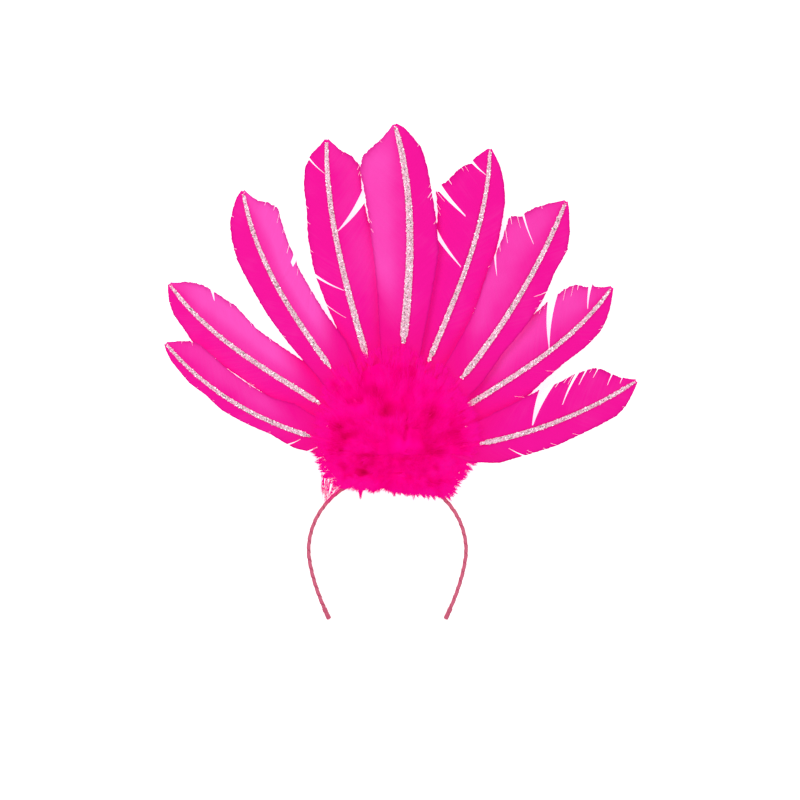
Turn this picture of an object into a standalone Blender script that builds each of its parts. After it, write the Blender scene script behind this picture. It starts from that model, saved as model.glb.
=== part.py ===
"""Carnival feather headdress, modelled lying on its back with its front face up.

+X runs to the right of the front view, +Y up the fan and +Z out of the front face. The origin is
on the back edge of the hair band, in the middle of the strip at the top of its arch. Metres.
From the floor up come the hair band, a felt base on its front edge, the quills of nine feathers
and, over the quills, a fan and two rolls of marabou fluff.
"""

import math

import bmesh
import bpy
import numpy as np

# Clearance kept between pieces that touch
GAP = 0.0003

# Hair band, a flat springy strip wound in satin ribbon
BAND_SPAN = 0.1296
BAND_THICKNESS = 0.0033
BAND_DEPTH = 0.008
BAND_ARCH = 0.060
BAND_LIMB = 0.0552
BAND_MOUTH = 0.716 * BAND_SPAN
BAND_EDGE = 0.0005
LIMB_CURL = 1.6
TIP_LENGTH = 0.010
TIP_THICKNESS = 0.0038
TIP_DEPTH = 0.0092
BAND_ROWS = 36
TIP_ROWS = 4
ARCH_SAMPLES = 120
LIMB_SAMPLES = 80

# Felt base, an oval patch on the front edge of the band
BASE_THICKNESS = 0.0015
BASE_WIDTH = 0.088
BASE_HEIGHT = 0.050
BASE_SIDES = 40

# Feathers: goose quills whose roots lie on a small ring on the base
HUB_X = 0.0045
HUB_Y = 0.0168
QUILL_RING = 0.016
FAN_REACH = 0.264
WEB_WIDTH = 0.036
WEB_THICKNESS = 0.001
WEB_CAMBER = 0.0020
QUILL_DIAMETER = 0.0026
SHAFT_TIP_DIAMETER = 0.0014
SHAFT_EDGE = 0.0016
BARE_QUILL_WEB = 0.0008
BARE_QUILL_SHARE = 0.12
BARB_SWEEP = math.radians(43)
SHAFT_STEP_SHARE = 0.001

# Glitter strips along the front of each shaft
STRIP_WIDTH = 0.0054
STRIP_THICKNESS = 0.0006
STRIP_END_SHARE = 0.985
STRIP_NARROWING = 0.35
STRIP_BLUNT_ENDS = ((0, 0.60), (0.04, 1), (0.90, 1), (1, 0.45))
STRIP_ROWS = 12

# Front layer, lifted clear of the back layer outside the quill roots
LIFT_START = 0.034
LIFT_END = 0.060

# Marabou fluff
FAN_FLUFF_REACH = 0.085
FAN_DOME_RADIUS = 0.033
FAN_DOME_HEIGHT = 0.018
FAN_LOCK_BREADTH = 0.0132
FAN_LOCK_ROOT_SHARE = 0.6
ROLL_HEIGHT = 0.0175
UPPER_ROLL_BREADTH = 0.0138
LOWER_ROLL_BREADTH = 0.0142
UPPER_ROLL_SPAN = 0.084
LOWER_ROLL_SPAN = 0.090
ROLL_CENTRE_X = 0.0065
ROLL_SPLIT_Y = 0.0024
LOCK_BREADTH = 0.011
LOCK_DEPTH = 0.0046
LOCK_TAPER = 0.985
LOCK_ROWS = 5
LOCK_SIDES = 6
PAD_SIDES = 20
PAD_ROWS = 12

# Heights above the floor, each worked out from what lies under it
BASE_TOP = BAND_DEPTH + GAP + BASE_THICKNESS
QUILL_AXIS = BASE_TOP + GAP + QUILL_DIAMETER / 2
QUILL_TOP = QUILL_AXIS + QUILL_DIAMETER / 2
STRIP_RISE = QUILL_DIAMETER / 2 + GAP + STRIP_THICKNESS
LAYER_PITCH = WEB_CAMBER + WEB_THICKNESS / 2 + STRIP_RISE + GAP
BASE_RADIUS = max(BASE_WIDTH, BASE_HEIGHT) / 2

# One row per feather, counted from the left of the front view. Angles are in degrees about the
# hub; reach is a share of FAN_REACH; bow is a share of the feather's own length
FEATHER_COLUMNS = ("number", "layer", "root_angle", "tip_angle", "reach", "bow", "skew", "strip_start")
FEATHERS = (
    (1, "front", 168, 153.9, 0.766, 0.092, 0.13, 0.27),
    (2, "back", 147, 142.6, 0.854, 0.032, 1.35, 0.27),
    (3, "front", 126, 119.6, 0.921, 0.053, 0.68, 0.31),
    (4, "back", 106, 101.9, 0.979, 0.031, 0.79, 0.27),
    (5, "front", 87, 89.7, 1.003, -0.046, 0.61, 0.30),
    (6, "back", 69, 72.4, 0.975, -0.037, 0.95, 0.27),
    (7, "front", 51, 55.7, 0.931, -0.053, 0.05, 0.29),
    (8, "back", 32, 37.4, 0.837, -0.040, 0.94, 0.26),
    (9, "front", 9, 16.9, 0.770, -0.066, 0.04, 0.29),
)

# Width of each web, as shares of WEB_WIDTH. The columns are the stations where the barbs that
# reach it leave the shaft, as shares of the shaft's length. Left and right are seen from the root
WEB_STATIONS = (0.16, 0.25, 0.38, 0.50, 0.60, 0.70, 0.78, 0.85, 0.91, 0.96)
WEBS = {
    (1, "left"): (0.30, 0.34, 0.24, 0.26, 0.27, 0.20, 0.22, 0.18, 0.15, 0.09),
    (1, "right"): (0.42, 0.58, 0.50, 0.53, 0.55, 0.58, 0.57, 0.44, 0.29, 0.14),
    (2, "left"): (0.38, 0.50, 0.46, 0.44, 0.45, 0.47, 0.38, 0.33, 0.23, 0.12),
    (2, "right"): (0.42, 0.58, 0.61, 0.64, 0.78, 0.71, 0.62, 0.48, 0.32, 0.15),
    (3, "left"): (0.36, 0.34, 0.43, 0.48, 0.49, 0.52, 0.48, 0.40, 0.27, 0.15),
    (3, "right"): (0.44, 0.62, 0.60, 0.62, 0.62, 0.68, 0.72, 0.52, 0.28, 0.13),
    (4, "left"): (0.36, 0.36, 0.52, 0.61, 0.59, 0.52, 0.52, 0.46, 0.31, 0.14),
    (4, "right"): (0.46, 0.82, 0.85, 0.85, 0.78, 0.75, 0.76, 0.57, 0.33, 0.16),
    (5, "left"): (0.42, 0.55, 0.72, 0.89, 0.98, 1.05, 0.89, 0.61, 0.37, 0.17),
    (5, "right"): (0.36, 0.42, 0.52, 0.62, 0.57, 0.51, 0.48, 0.43, 0.29, 0.17),
    (6, "left"): (0.44, 0.62, 0.72, 0.82, 0.93, 1.14, 0.82, 0.59, 0.38, 0.18),
    (6, "right"): (0.40, 0.56, 0.55, 0.47, 0.50, 0.46, 0.43, 0.34, 0.24, 0.12),
    (7, "left"): (0.42, 0.52, 0.66, 0.92, 0.97, 1.05, 0.78, 0.57, 0.36, 0.17),
    (7, "right"): (0.34, 0.40, 0.37, 0.46, 0.47, 0.41, 0.44, 0.34, 0.22, 0.12),
    (8, "left"): (0.44, 0.60, 0.78, 0.88, 0.90, 0.85, 0.70, 0.46, 0.28, 0.13),
    (8, "right"): (0.42, 0.66, 0.53, 0.43, 0.39, 0.42, 0.40, 0.31, 0.20, 0.10),
    (9, "left"): (0.44, 0.62, 0.78, 0.80, 0.84, 0.77, 0.60, 0.39, 0.23, 0.11),
    (9, "right"): (0.34, 0.48, 0.46, 0.47, 0.44, 0.43, 0.42, 0.33, 0.21, 0.11),
}

# Splits in the webs: where the parted barbs leave the shaft, how near the shaft the split ends as
# a share of the web there, how far the barbs below and above it are turned out, in degrees, and
# the share of the shaft over which the turn fades
SPLIT_COLUMNS = ("number", "side", "station", "apex", "turn_below", "turn_above", "spread")
SPLITS = (
    (3, "right", 0.640, 0.30, 23, 12, 0.045),
    (4, "left", 0.492, 0.12, 8, 4, 0.045),
    (4, "right", 0.690, 0.10, 11, -1, 0.045),
    (6, "left", 0.912, 0.20, 14, 7, 0.030),
    (6, "left", 0.728, 0.40, 21, 13, 0.080),
    (6, "left", 0.586, 0.14, 13, 7, 0.080),
    (7, "left", 0.785, 0.40, 8, 5, 0.120),
    (7, "left", 0.555, 0.76, 3, -4, 0.045),
    (8, "left", 0.860, 0.25, 0, -8, 0.045),
    (8, "left", 0.655, 0.10, 12, 1, 0.045),
    (9, "left", 0.510, 0.14, 19, 3, 0.070),
)
SPLIT_HALF_OPENING_SHARE = 0.004

# Stations at which a feather has a row, besides those of its splits and clear of them
FEATHER_ROWS = (0.0, 0.06, 0.12, 0.16, 0.20, 0.25, 0.31, 0.38, 0.44, 0.50, 0.55, 0.60, 0.65, 0.70, 0.74,
                0.78, 0.82, 0.85, 0.88, 0.91, 0.94, 0.96, 1.0)
ROW_CLEARANCE_SHARE = 0.01

# Reach of the marabou fan round the hub: angle in degrees, share of FAN_FLUFF_REACH
FAN_OUTLINE = ((14, 0.81), (30, 0.84), (45, 0.84), (60, 0.92), (75, 0.95), (90, 0.99), (105, 0.97),
               (130, 0.92), (145, 0.82), (155, 0.75), (168, 0.69))

# Tiers of its locks. Reach is a share of the outline, and each rise a share of LOCK_DEPTH
FAN_TIER_COLUMNS = ("locks", "reach", "root_rise", "tip_rise")
FAN_TIERS = ((13, 1.0, 0.0, 0.0), (9, 0.80, 1.0, 0.375))

# Locks of the two rolls, from root to tip. The across values are shares of the roll's half span
# and the down values shares of its breadth, both from the roll's own middle
LOCK_COLUMNS = ("across_root", "down_root", "across_tip", "down_tip")
UPPER_ROLL_LOCKS = (
    (-0.72, -0.08, -1.38, -0.16),
    (-0.72, 0.05, -1.34, 0.20),
    (0.70, -0.06, 1.50, -0.24),
    (0.74, 0.05, 1.56, 0.16),
)
LOWER_ROLL_LOCKS = (
    (-0.74, -0.04, -1.32, 0.10),
    (-0.72, 0.12, -1.26, 0.62),
    (-0.66, 0.25, -1.08, 1.05),
    (-0.50, 0.30, -0.62, 1.10),
    (-0.26, 0.32, -0.34, 0.92),
    (-0.02, 0.32, -0.02, 1.12),
    (0.20, 0.32, 0.22, 1.00),
    (0.42, 0.30, 0.46, 1.26),
    (0.60, 0.28, 0.72, 1.20),
    (0.68, 0.20, 0.96, 1.22),
    (0.72, 0.10, 1.16, 0.72),
    (0.74, -0.04, 1.28, 0.12),
)


def clear_scene():
    for thing in list(bpy.data.objects):
        bpy.data.objects.remove(thing, do_unlink=True)


def material(name, colour, roughness, metallic=0.0):
    finish = bpy.data.materials.new(name)
    finish.use_nodes = True
    shader = finish.node_tree.nodes["Principled BSDF"]
    shader.inputs["Base Color"].default_value = (*colour, 1.0)
    shader.inputs["Roughness"].default_value = roughness
    shader.inputs["Metallic"].default_value = metallic
    finish.diffuse_color = (*colour, 1.0)
    return finish


def add_object(name, shape, finish):
    """Put a finished bmesh into the scene, with its faces pointing out."""
    bmesh.ops.recalc_face_normals(shape, faces=shape.faces)
    mesh = bpy.data.meshes.new(name)
    shape.to_mesh(mesh)
    shape.free()
    mesh.shade_smooth()
    mesh.set_sharp_from_angle(angle=math.radians(35))
    thing = bpy.data.objects.new(name, mesh)
    thing.data.materials.append(finish)
    bpy.context.scene.collection.objects.link(thing)
    return thing


def loft(shape, rings):
    """Skin a closed body over rings of equally many points, and cap its two ends."""
    rows = [[shape.verts.new(point) for point in ring] for ring in rings]
    for low, high in zip(rows, rows[1:]):
        for i in range(len(low)):
            j = (i + 1) % len(low)
            shape.faces.new((low[i], low[j], high[j], high[i]))
    shape.faces.new(rows[0][::-1])
    shape.faces.new(rows[-1])


# The hair band

def band_curve():
    """The middle of the strip from its left end to its right end, and its length from the left.

    Above the widest level it is half an ellipse. Below, each limb curves in towards the mouth.
    """
    half_span = BAND_SPAN / 2 - BAND_THICKNESS / 2
    turn = np.linspace(0, math.pi / 2, ARCH_SAMPLES)
    arch = np.stack([half_span * np.sin(turn), BAND_ARCH * (np.cos(turn) - 1)], axis=1)
    fall = np.linspace(0, 1, LIMB_SAMPLES)[1:]
    limb_x = half_span - (half_span - BAND_MOUTH / 2) * fall**LIMB_CURL
    limb = np.stack([limb_x, -BAND_ARCH - BAND_LIMB * fall], axis=1)
    right = np.concatenate([arch, limb])
    left = right[:0:-1] * (-1, 1)
    points = np.concatenate([left, right])
    steps = np.linalg.norm(np.diff(points, axis=0), axis=1)
    return points, np.concatenate([[0], np.cumsum(steps)])


def band_points(at):
    """Points of the strip's middle at lengths from its left end."""
    points, run = band_curve()
    return np.stack([np.interp(at, run, points[:, axis]) for axis in (0, 1)], axis=1)


def strip_rings(start, end, rows, thickness, depth):
    """Rings of a flat strip, its corners eased, that follows the band from start to end."""
    at = np.linspace(start, end, rows)
    centre = band_points(at)
    along = band_points(at + BAND_EDGE) - band_points(at - BAND_EDGE)
    along /= np.linalg.norm(along, axis=1)[:, None]
    across = np.stack([-along[:, 1], along[:, 0]], axis=1)
    half = thickness / 2
    eased = half - BAND_EDGE
    section = ((-half, BAND_EDGE), (-half, depth - BAND_EDGE), (-eased, depth), (eased, depth),
               (half, depth - BAND_EDGE), (half, BAND_EDGE), (eased, 0.0), (-eased, 0.0))
    rings = []
    for place, normal in zip(centre, across):
        rings.append([(*(place + normal * side), height) for side, height in section])
    return rings


def make_headband(satin):
    length = band_curve()[1][-1]
    start = TIP_LENGTH + GAP
    shape = bmesh.new()
    loft(shape, strip_rings(start, length - start, BAND_ROWS, BAND_THICKNESS, BAND_DEPTH))
    add_object("headband", shape, satin)


def make_band_tips(satin):
    """The ribbon's folded ends, thicker than the strip and flush with its back edge."""
    length = band_curve()[1][-1]
    ends = {"band_tip_left": (0.0, TIP_LENGTH), "band_tip_right": (length - TIP_LENGTH, length)}
    for name, (start, end) in ends.items():
        shape = bmesh.new()
        loft(shape, strip_rings(start, end, TIP_ROWS, TIP_THICKNESS, TIP_DEPTH))
        add_object(name, shape, satin)


def make_felt_base(felt):
    """An oval patch that starts below the top of the band and carries every quill root."""
    centre_y = HUB_Y - BAND_THICKNESS / 2
    turn = np.linspace(0, 2 * math.pi, BASE_SIDES, endpoint=False)
    rim_x = HUB_X + BASE_WIDTH / 2 * np.cos(turn)
    rim_y = centre_y + BASE_HEIGHT / 2 * np.sin(turn)
    rings = [[(x, y, height) for x, y in zip(rim_x, rim_y)] for height in (BAND_DEPTH + GAP, BASE_TOP)]
    shape = bmesh.new()
    loft(shape, rings)
    add_object("felt_base", shape, felt)


# The feathers

def all_feathers():
    return [dict(zip(FEATHER_COLUMNS, row)) for row in FEATHERS]


def smooth_step(value, start, end):
    share = np.clip((value - start) / (end - start), 0, 1)
    return share * share * (3 - 2 * share)


def fall_back(radius):
    """How far the fan dishes back at a distance from the hub.

    The longest feather of the back layer comes down to the floor at its tip.
    """
    back_reaches = [feather["reach"] for feather in all_feathers() if feather["layer"] == "back"]
    tip = max(back_reaches) * FAN_REACH
    depth = QUILL_AXIS - SHAFT_TIP_DIAMETER / 2
    return depth * (np.maximum(radius - BASE_RADIUS, 0) / (tip - BASE_RADIUS)) ** 2


def layer_height(x, y, layer):
    """Height of the shafts' axes over a point, for one layer of the fan."""
    radius = np.hypot(x - HUB_X, y - HUB_Y)
    lift = smooth_step(radius, LIFT_START, LIFT_END) * LAYER_PITCH if layer == "front" else 0.0
    return QUILL_AXIS + lift - fall_back(radius)


def shaft_curve(feather, stations):
    """Points and unit directions of a shaft in plan, at shares of its length.

    A straight chord from the ring of roots to the tip, with a bow that leans towards one end.
    """
    root, tip = math.radians(feather["root_angle"]), math.radians(feather["tip_angle"])
    start = np.array([HUB_X + QUILL_RING * math.cos(root), HUB_Y + QUILL_RING * math.sin(root)])
    reach = feather["reach"] * FAN_REACH
    end = np.array([HUB_X + reach * math.cos(tip), HUB_Y + reach * math.sin(tip)])
    chord = end - start
    side = np.array([-chord[1], chord[0]])

    def place(share):
        bow = feather["bow"] * 4 * share * (1 - share) * (1 + feather["skew"] * (2 * share - 1))
        return start + share[:, None] * chord + bow[:, None] * side

    stations = np.asarray(stations, float)
    along = place(stations + SHAFT_STEP_SHARE) - place(stations - SHAFT_STEP_SHARE)
    return place(stations), along / np.linalg.norm(along, axis=1)[:, None]


def splits_of(feather, side=None):
    rows = [dict(zip(SPLIT_COLUMNS, row)) for row in SPLITS]
    return [row for row in rows if row["number"] == feather["number"] and side in (None, row["side"])]


def barbs(feather, side, stations):
    """Length of the barbs from each station to the web's edge, and their angle with the shaft.

    A split is a short barb between two whole ones that are turned away from each other.
    """
    known = (BARE_QUILL_SHARE, *WEB_STATIONS, 1.0)
    least = BARE_QUILL_WEB / WEB_WIDTH
    width = np.interp(stations, known, (least, *WEBS[feather["number"], side], least)) * WEB_WIDTH
    angle = np.full(len(stations), BARB_SWEEP)
    for split in splits_of(feather, side):
        away = stations - split["station"]
        width = width * np.where(np.abs(away) < SPLIT_HALF_OPENING_SHARE / 2, split["apex"], 1.0)
        turn = np.where(away < 0, split["turn_below"], split["turn_above"])
        beyond = np.maximum(np.abs(away) - SPLIT_HALF_OPENING_SHARE, 0)
        fade = np.exp(-beyond / split["spread"])
        angle = angle + np.radians(turn) * fade
    return width / np.sin(angle), angle


def feather_stations(feather):
    """The usual rows, with three more at each split: its two edges and its apex between them."""
    stations = set(FEATHER_ROWS)
    for split in splits_of(feather):
        low = split["station"] - SPLIT_HALF_OPENING_SHARE
        high = split["station"] + SPLIT_HALF_OPENING_SHARE
        clear = ROW_CLEARANCE_SHARE
        stations = {s for s in stations if not low - clear < s < high + clear}
        stations |= {low, split["station"], high}
    return np.array(sorted(stations))


def make_feather(feather, vane):
    """One solid of web and shaft: its rows follow the barbs, swept forward from the shaft."""
    stations = feather_stations(feather)
    place, along = shaft_curve(feather, stations)
    normal = np.stack([-along[:, 1], along[:, 0]], axis=1)
    shaft = np.interp(stations, (0, 1), (QUILL_DIAMETER, SHAFT_TIP_DIAMETER)) / 2
    columns = {}
    for side, sign in (("left", 1), ("right", -1)):
        length, angle = barbs(feather, side, stations)
        for share in (0.0, 0.5, 1.0):
            out = SHAFT_EDGE / 2 + length * share * np.sin(angle)
            forward = length * share * np.cos(angle)
            point = place + normal * (sign * out)[:, None] + along * forward[:, None]
            camber = WEB_CAMBER * (out / WEB_WIDTH) ** 2
            height = layer_height(point[:, 0], point[:, 1], feather["layer"]) - camber
            columns[side, share] = (point, height)
    middle = (place, layer_height(place[:, 0], place[:, 1], feather["layer"]))
    order = [columns["left", 1.0], columns["left", 0.5], columns["left", 0.0], middle,
             columns["right", 0.0], columns["right", 0.5], columns["right", 1.0]]
    rings = []
    for row in range(len(stations)):
        upper, lower = [], []
        for column, (point, height) in enumerate(order):
            thick = shaft[row] if column == 3 else WEB_THICKNESS / 2
            upper.append((*point[row], height[row] + thick))
            lower.append((*point[row], height[row] - thick))
        rings.append(upper + lower[::-1])
    shape = bmesh.new()
    loft(shape, rings)
    add_object(f"feather_{feather['number']}", shape, vane)


def make_glitter_strip(feather, glitter):
    """A line of glitter glue on the shaft, narrower towards the tip and blunt at both ends."""
    stations = np.linspace(feather["strip_start"], STRIP_END_SHARE, STRIP_ROWS)
    place, along = shaft_curve(feather, stations)
    normal = np.stack([-along[:, 1], along[:, 0]], axis=1)
    share = np.linspace(0, 1, STRIP_ROWS)
    half = STRIP_WIDTH / 2 * (1 - STRIP_NARROWING * share) * np.interp(share, *zip(*STRIP_BLUNT_ENDS))
    axis = layer_height(place[:, 0], place[:, 1], feather["layer"])
    shaft = np.interp(stations, (0, 1), (QUILL_DIAMETER, SHAFT_TIP_DIAMETER)) / 2
    bottom = axis + shaft + GAP
    rings = []
    for row in range(STRIP_ROWS):
        left = place[row] + normal[row] * half[row]
        right = place[row] - normal[row] * half[row]
        low, high = bottom[row], bottom[row] + STRIP_THICKNESS
        rings.append([(*left, low), (*left, high), (*right, high), (*right, low)])
    shape = bmesh.new()
    loft(shape, rings)
    add_object(f"glitter_strip_{feather['number']}", shape, glitter)


# The marabou

def front_height(x, y):
    """The highest that any quill, shaft or glitter strip of the front layer reaches over a point."""
    return layer_height(x, y, "front") + STRIP_RISE


def lock_rings(root, tip, breadth, depth, raise_root, raise_tip):
    """Rings of one lock: a flattened tongue that narrows to its tip, laid over the feathers."""
    share = np.linspace(0, 1, LOCK_ROWS)
    centre = np.outer(1 - share, root) + np.outer(share, tip)
    along = (tip - root) / np.linalg.norm(tip - root)
    across = np.array([-along[1], along[0]])
    taper = np.sqrt(1 - share**2 * LOCK_TAPER)
    half_breadth = breadth / 2 * taper
    half_depth = depth / 2 * taper
    rise = raise_root * (1 - share) + raise_tip * share
    rings = []
    for row in range(LOCK_ROWS):
        ring = []
        for corner in range(LOCK_SIDES):
            turn = 2 * math.pi * (corner + 0.5) / LOCK_SIDES
            x, y = centre[row] + across * half_breadth[row] * math.cos(turn)
            under = front_height(*centre[row]) + GAP + depth / 2
            ring.append((x, y, under + rise[row] + half_depth[row] * math.sin(turn)))
        rings.append(ring)
    return rings


def pad(centre_x, centre_y, half_span, half_breadth, bottom, height, cut_y=None):
    """A rounded backing: the upper half of an ellipsoid, flat where it lies on the quills."""
    shape = bmesh.new()
    bmesh.ops.create_uvsphere(shape, u_segments=PAD_SIDES, v_segments=PAD_ROWS, radius=1)
    bmesh.ops.scale(shape, vec=(half_span, half_breadth, height), verts=shape.verts)
    bmesh.ops.translate(shape, vec=(centre_x, centre_y, bottom), verts=shape.verts)
    cuts = [((0, 0, bottom), (0, 0, -1))]
    if cut_y is not None:
        cuts.append(((0, cut_y, 0), (0, -1, 0)))
    for point, normal in cuts:
        faces = shape.verts[:] + shape.edges[:] + shape.faces[:]
        bmesh.ops.bisect_plane(shape, geom=faces, plane_co=point, plane_no=normal, clear_outer=True)
        bmesh.ops.holes_fill(shape, edges=[edge for edge in shape.edges if edge.is_boundary])
    bmesh.ops.triangulate(shape, faces=shape.faces)
    return shape


def fuse_locks(backing, locks):
    """Join all locks to their backing with one Boolean union, so that the fluff is one body."""
    helpers = bpy.data.collections.new(f"{backing.name}_locks")
    bpy.context.scene.collection.children.link(helpers)
    for index, rings in enumerate(locks):
        shape = bmesh.new()
        loft(shape, rings)
        bmesh.ops.triangulate(shape, faces=shape.faces)
        lock = add_object(f"{backing.name}_lock_{index}", shape, backing.data.materials[0])
        bpy.context.scene.collection.objects.unlink(lock)
        helpers.objects.link(lock)
        lock.hide_render = True
        lock.display_type = "WIRE"
    union = backing.modifiers.new("locks", "BOOLEAN")
    union.operation = "UNION"
    union.solver = "EXACT"
    union.operand_type = "COLLECTION"
    union.collection = helpers


def make_marabou_fan(fluff):
    """A half dome over the quill roots, with locks that fan out over the feathers."""
    edge = HUB_Y + GAP
    shape = pad(HUB_X, HUB_Y, FAN_DOME_RADIUS, FAN_DOME_RADIUS, QUILL_TOP + GAP, FAN_DOME_HEIGHT, edge)
    backing = add_object("marabou_fan", shape, fluff)
    angles, reaches = zip(*FAN_OUTLINE)
    hub = np.array([HUB_X, HUB_Y])
    locks = []
    for row in FAN_TIERS:
        tier = dict(zip(FAN_TIER_COLUMNS, row))
        margin = (angles[-1] - angles[0]) / tier["locks"] / 3
        for degrees in np.linspace(angles[0] + margin, angles[-1] - margin, tier["locks"]):
            turn = math.radians(degrees)
            ray = np.array([math.cos(turn), math.sin(turn)])
            reach = np.interp(degrees, angles, reaches) * FAN_FLUFF_REACH * tier["reach"]
            root = hub + ray * FAN_DOME_RADIUS * FAN_LOCK_ROOT_SHARE
            locks.append(lock_rings(root, hub + ray * reach, FAN_LOCK_BREADTH, LOCK_DEPTH,
                                    tier["root_rise"] * LOCK_DEPTH, tier["tip_rise"] * LOCK_DEPTH))
    fuse_locks(backing, locks)


def make_marabou_roll(name, fluff, centre_y, span, breadth, rows):
    """One pass of the boa across the top of the band, with locks at its ends or lower edge."""
    shape = pad(ROLL_CENTRE_X, centre_y, span / 2, breadth / 2, BASE_TOP + GAP, ROLL_HEIGHT)
    backing = add_object(name, shape, fluff)
    centre = np.array([ROLL_CENTRE_X, centre_y])
    locks = []
    for row in rows:
        lock = dict(zip(LOCK_COLUMNS, row))
        root = centre + (lock["across_root"] * span / 2, -lock["down_root"] * breadth)
        tip = centre + (lock["across_tip"] * span / 2, -lock["down_tip"] * breadth)
        locks.append(lock_rings(root, tip, LOCK_BREADTH, LOCK_DEPTH, 0.0, 0.0))
    fuse_locks(backing, locks)


def main():
    clear_scene()
    satin = material("rose_satin_ribbon", (0.60, 0.08, 0.17), 0.38)
    felt = material("pink_felt", (0.70, 0.01, 0.20), 0.95)
    vane = material("dyed_goose_feather", (1.0, 0.01, 0.36), 0.55)
    glitter = material("pale_pink_glitter", (0.90, 0.45, 0.60), 0.30, 0.35)
    fluff = material("hot_pink_marabou", (0.95, 0.005, 0.24), 0.90)
    make_headband(satin)
    make_band_tips(satin)
    make_felt_base(felt)
    for feather in all_feathers():
        make_feather(feather, vane)
        make_glitter_strip(feather, glitter)
    make_marabou_fan(fluff)
    upper_y = ROLL_SPLIT_Y + UPPER_ROLL_BREADTH / 2 + GAP / 2
    lower_y = ROLL_SPLIT_Y - LOWER_ROLL_BREADTH / 2 - GAP / 2
    make_marabou_roll("marabou_roll_upper", fluff, upper_y, UPPER_ROLL_SPAN, UPPER_ROLL_BREADTH,
                      UPPER_ROLL_LOCKS)
    make_marabou_roll("marabou_roll_lower", fluff, lower_y, LOWER_ROLL_SPAN, LOWER_ROLL_BREADTH,
                      LOWER_ROLL_LOCKS)


main()
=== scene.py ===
"""Carnival feather headdress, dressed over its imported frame.

It lies on its back on a bright white table and the camera looks straight down at its front face.
+X is to the right of the picture, +Y up it and +Z towards the camera. Metres.
"""

import math

import bpy
import numpy as np
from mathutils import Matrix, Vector


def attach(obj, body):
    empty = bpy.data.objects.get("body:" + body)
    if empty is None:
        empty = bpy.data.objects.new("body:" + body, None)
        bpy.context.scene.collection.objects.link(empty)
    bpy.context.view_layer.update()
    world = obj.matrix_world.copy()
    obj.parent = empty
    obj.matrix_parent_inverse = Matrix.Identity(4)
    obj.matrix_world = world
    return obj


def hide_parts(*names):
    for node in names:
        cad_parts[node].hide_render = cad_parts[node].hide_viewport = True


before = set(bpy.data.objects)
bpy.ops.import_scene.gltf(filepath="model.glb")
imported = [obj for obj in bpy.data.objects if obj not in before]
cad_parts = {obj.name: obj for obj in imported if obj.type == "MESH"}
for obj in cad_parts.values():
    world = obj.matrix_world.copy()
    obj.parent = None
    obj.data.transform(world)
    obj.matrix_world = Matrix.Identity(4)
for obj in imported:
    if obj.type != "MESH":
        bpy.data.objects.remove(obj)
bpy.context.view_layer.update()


def records(columns, *rows):
    """The rows of a table as records, by the names of its columns."""
    return [dict(zip(columns.split(), row)) for row in rows]


# Sizes repeated from the part's source
GAP = 0.0003
BAND_SPAN = 0.1296
BAND_THICKNESS = 0.0033
BAND_DEPTH = 0.008
BAND_ARCH = 0.060
BAND_LIMB = 0.0552
BAND_MOUTH = 0.716 * BAND_SPAN
LIMB_CURL = 1.6
TIP_LENGTH = 0.010
TIP_THICKNESS = 0.0038
TIP_DEPTH = 0.0092
BASE_THICKNESS = 0.0015
BASE_WIDTH = 0.088
BASE_HEIGHT = 0.050
HUB_X = 0.0045
HUB_Y = 0.0168
QUILL_RING = 0.016
FAN_REACH = 0.264
WEB_WIDTH = 0.036
WEB_CAMBER = 0.0020
QUILL_DIAMETER = 0.0026
SHAFT_TIP_DIAMETER = 0.0014
SHAFT_EDGE = 0.0016
BARE_QUILL_WEB = 0.0008
BARE_QUILL_SHARE = 0.12
BARB_SWEEP = math.radians(43)
STRIP_WIDTH = 0.0054
STRIP_THICKNESS = 0.0006
STRIP_END_SHARE = 0.985
STRIP_NARROWING = 0.35
LIFT_START = 0.034
LIFT_END = 0.060
FAN_DOME_RADIUS = 0.033
FAN_DOME_HEIGHT = 0.018
ROLL_HEIGHT = 0.0175
UPPER_ROLL_BREADTH = 0.0138
LOWER_ROLL_BREADTH = 0.0142
UPPER_ROLL_SPAN = 0.084
LOWER_ROLL_SPAN = 0.090
ROLL_CENTRE_X = 0.0065
ROLL_SPLIT_Y = 0.0024
BASE_TOP = BAND_DEPTH + GAP + BASE_THICKNESS
QUILL_AXIS = BASE_TOP + GAP + QUILL_DIAMETER / 2
QUILL_TOP = QUILL_AXIS + QUILL_DIAMETER / 2
STRIP_RISE = QUILL_DIAMETER / 2 + GAP + STRIP_THICKNESS
LAYER_CLEARANCE = 0.0005
LAYER_PITCH = WEB_CAMBER + LAYER_CLEARANCE + STRIP_RISE + GAP
BASE_RADIUS = max(BASE_WIDTH, BASE_HEIGHT) / 2

# Sizes and counts of what is added here
WEB_ROWS = 230
WEB_COLUMNS = 10
WEB_SHEET = 0.00028
BARB_CURL = math.radians(9)
SLIT_HALF = 0.0006
SLIT_CLEARANCE = 0.0022
SPLIT_SPACING = 0.012
SPLIT_LIFT = 0.0006
EDGE_WANDER = 0.014
EDGE_ROUGHNESS = 0.006
RIPPLE_RISE = 0.00022
LOWEST_SHAFT = 0.00005
STRIP_START_TAPER = 0.035
FLAKE_RADIUS = 0.00056
FLAKE_HALF_THICKNESS = 0.00006
FLAKES_PER_METRE = 4600
STRAND_WIDTH = 0.00030
LOWEST_STRAND = 0.0004
ROOT_DEPTH = 0.0014
ROOT_SCATTER = 0.0006
HOLLOW_SINK = 0.004
HOLLOW_DEPTH = 0.85
SMALL_SPIKE_COUNT = 150
SMALL_SPIKE_ANGLES = (-188, 6)
WRAP_PITCH = 0.0075
WEAVE_PITCH = 0.002
LAP_RISE = 0.00020
CAMERA_DISTANCE = 2.6
SENSOR_WIDTH = 36
FRAME_WIDTH = 0.640
FRAME_X = 0.01016
FRAME_Y = 0.0608

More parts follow.
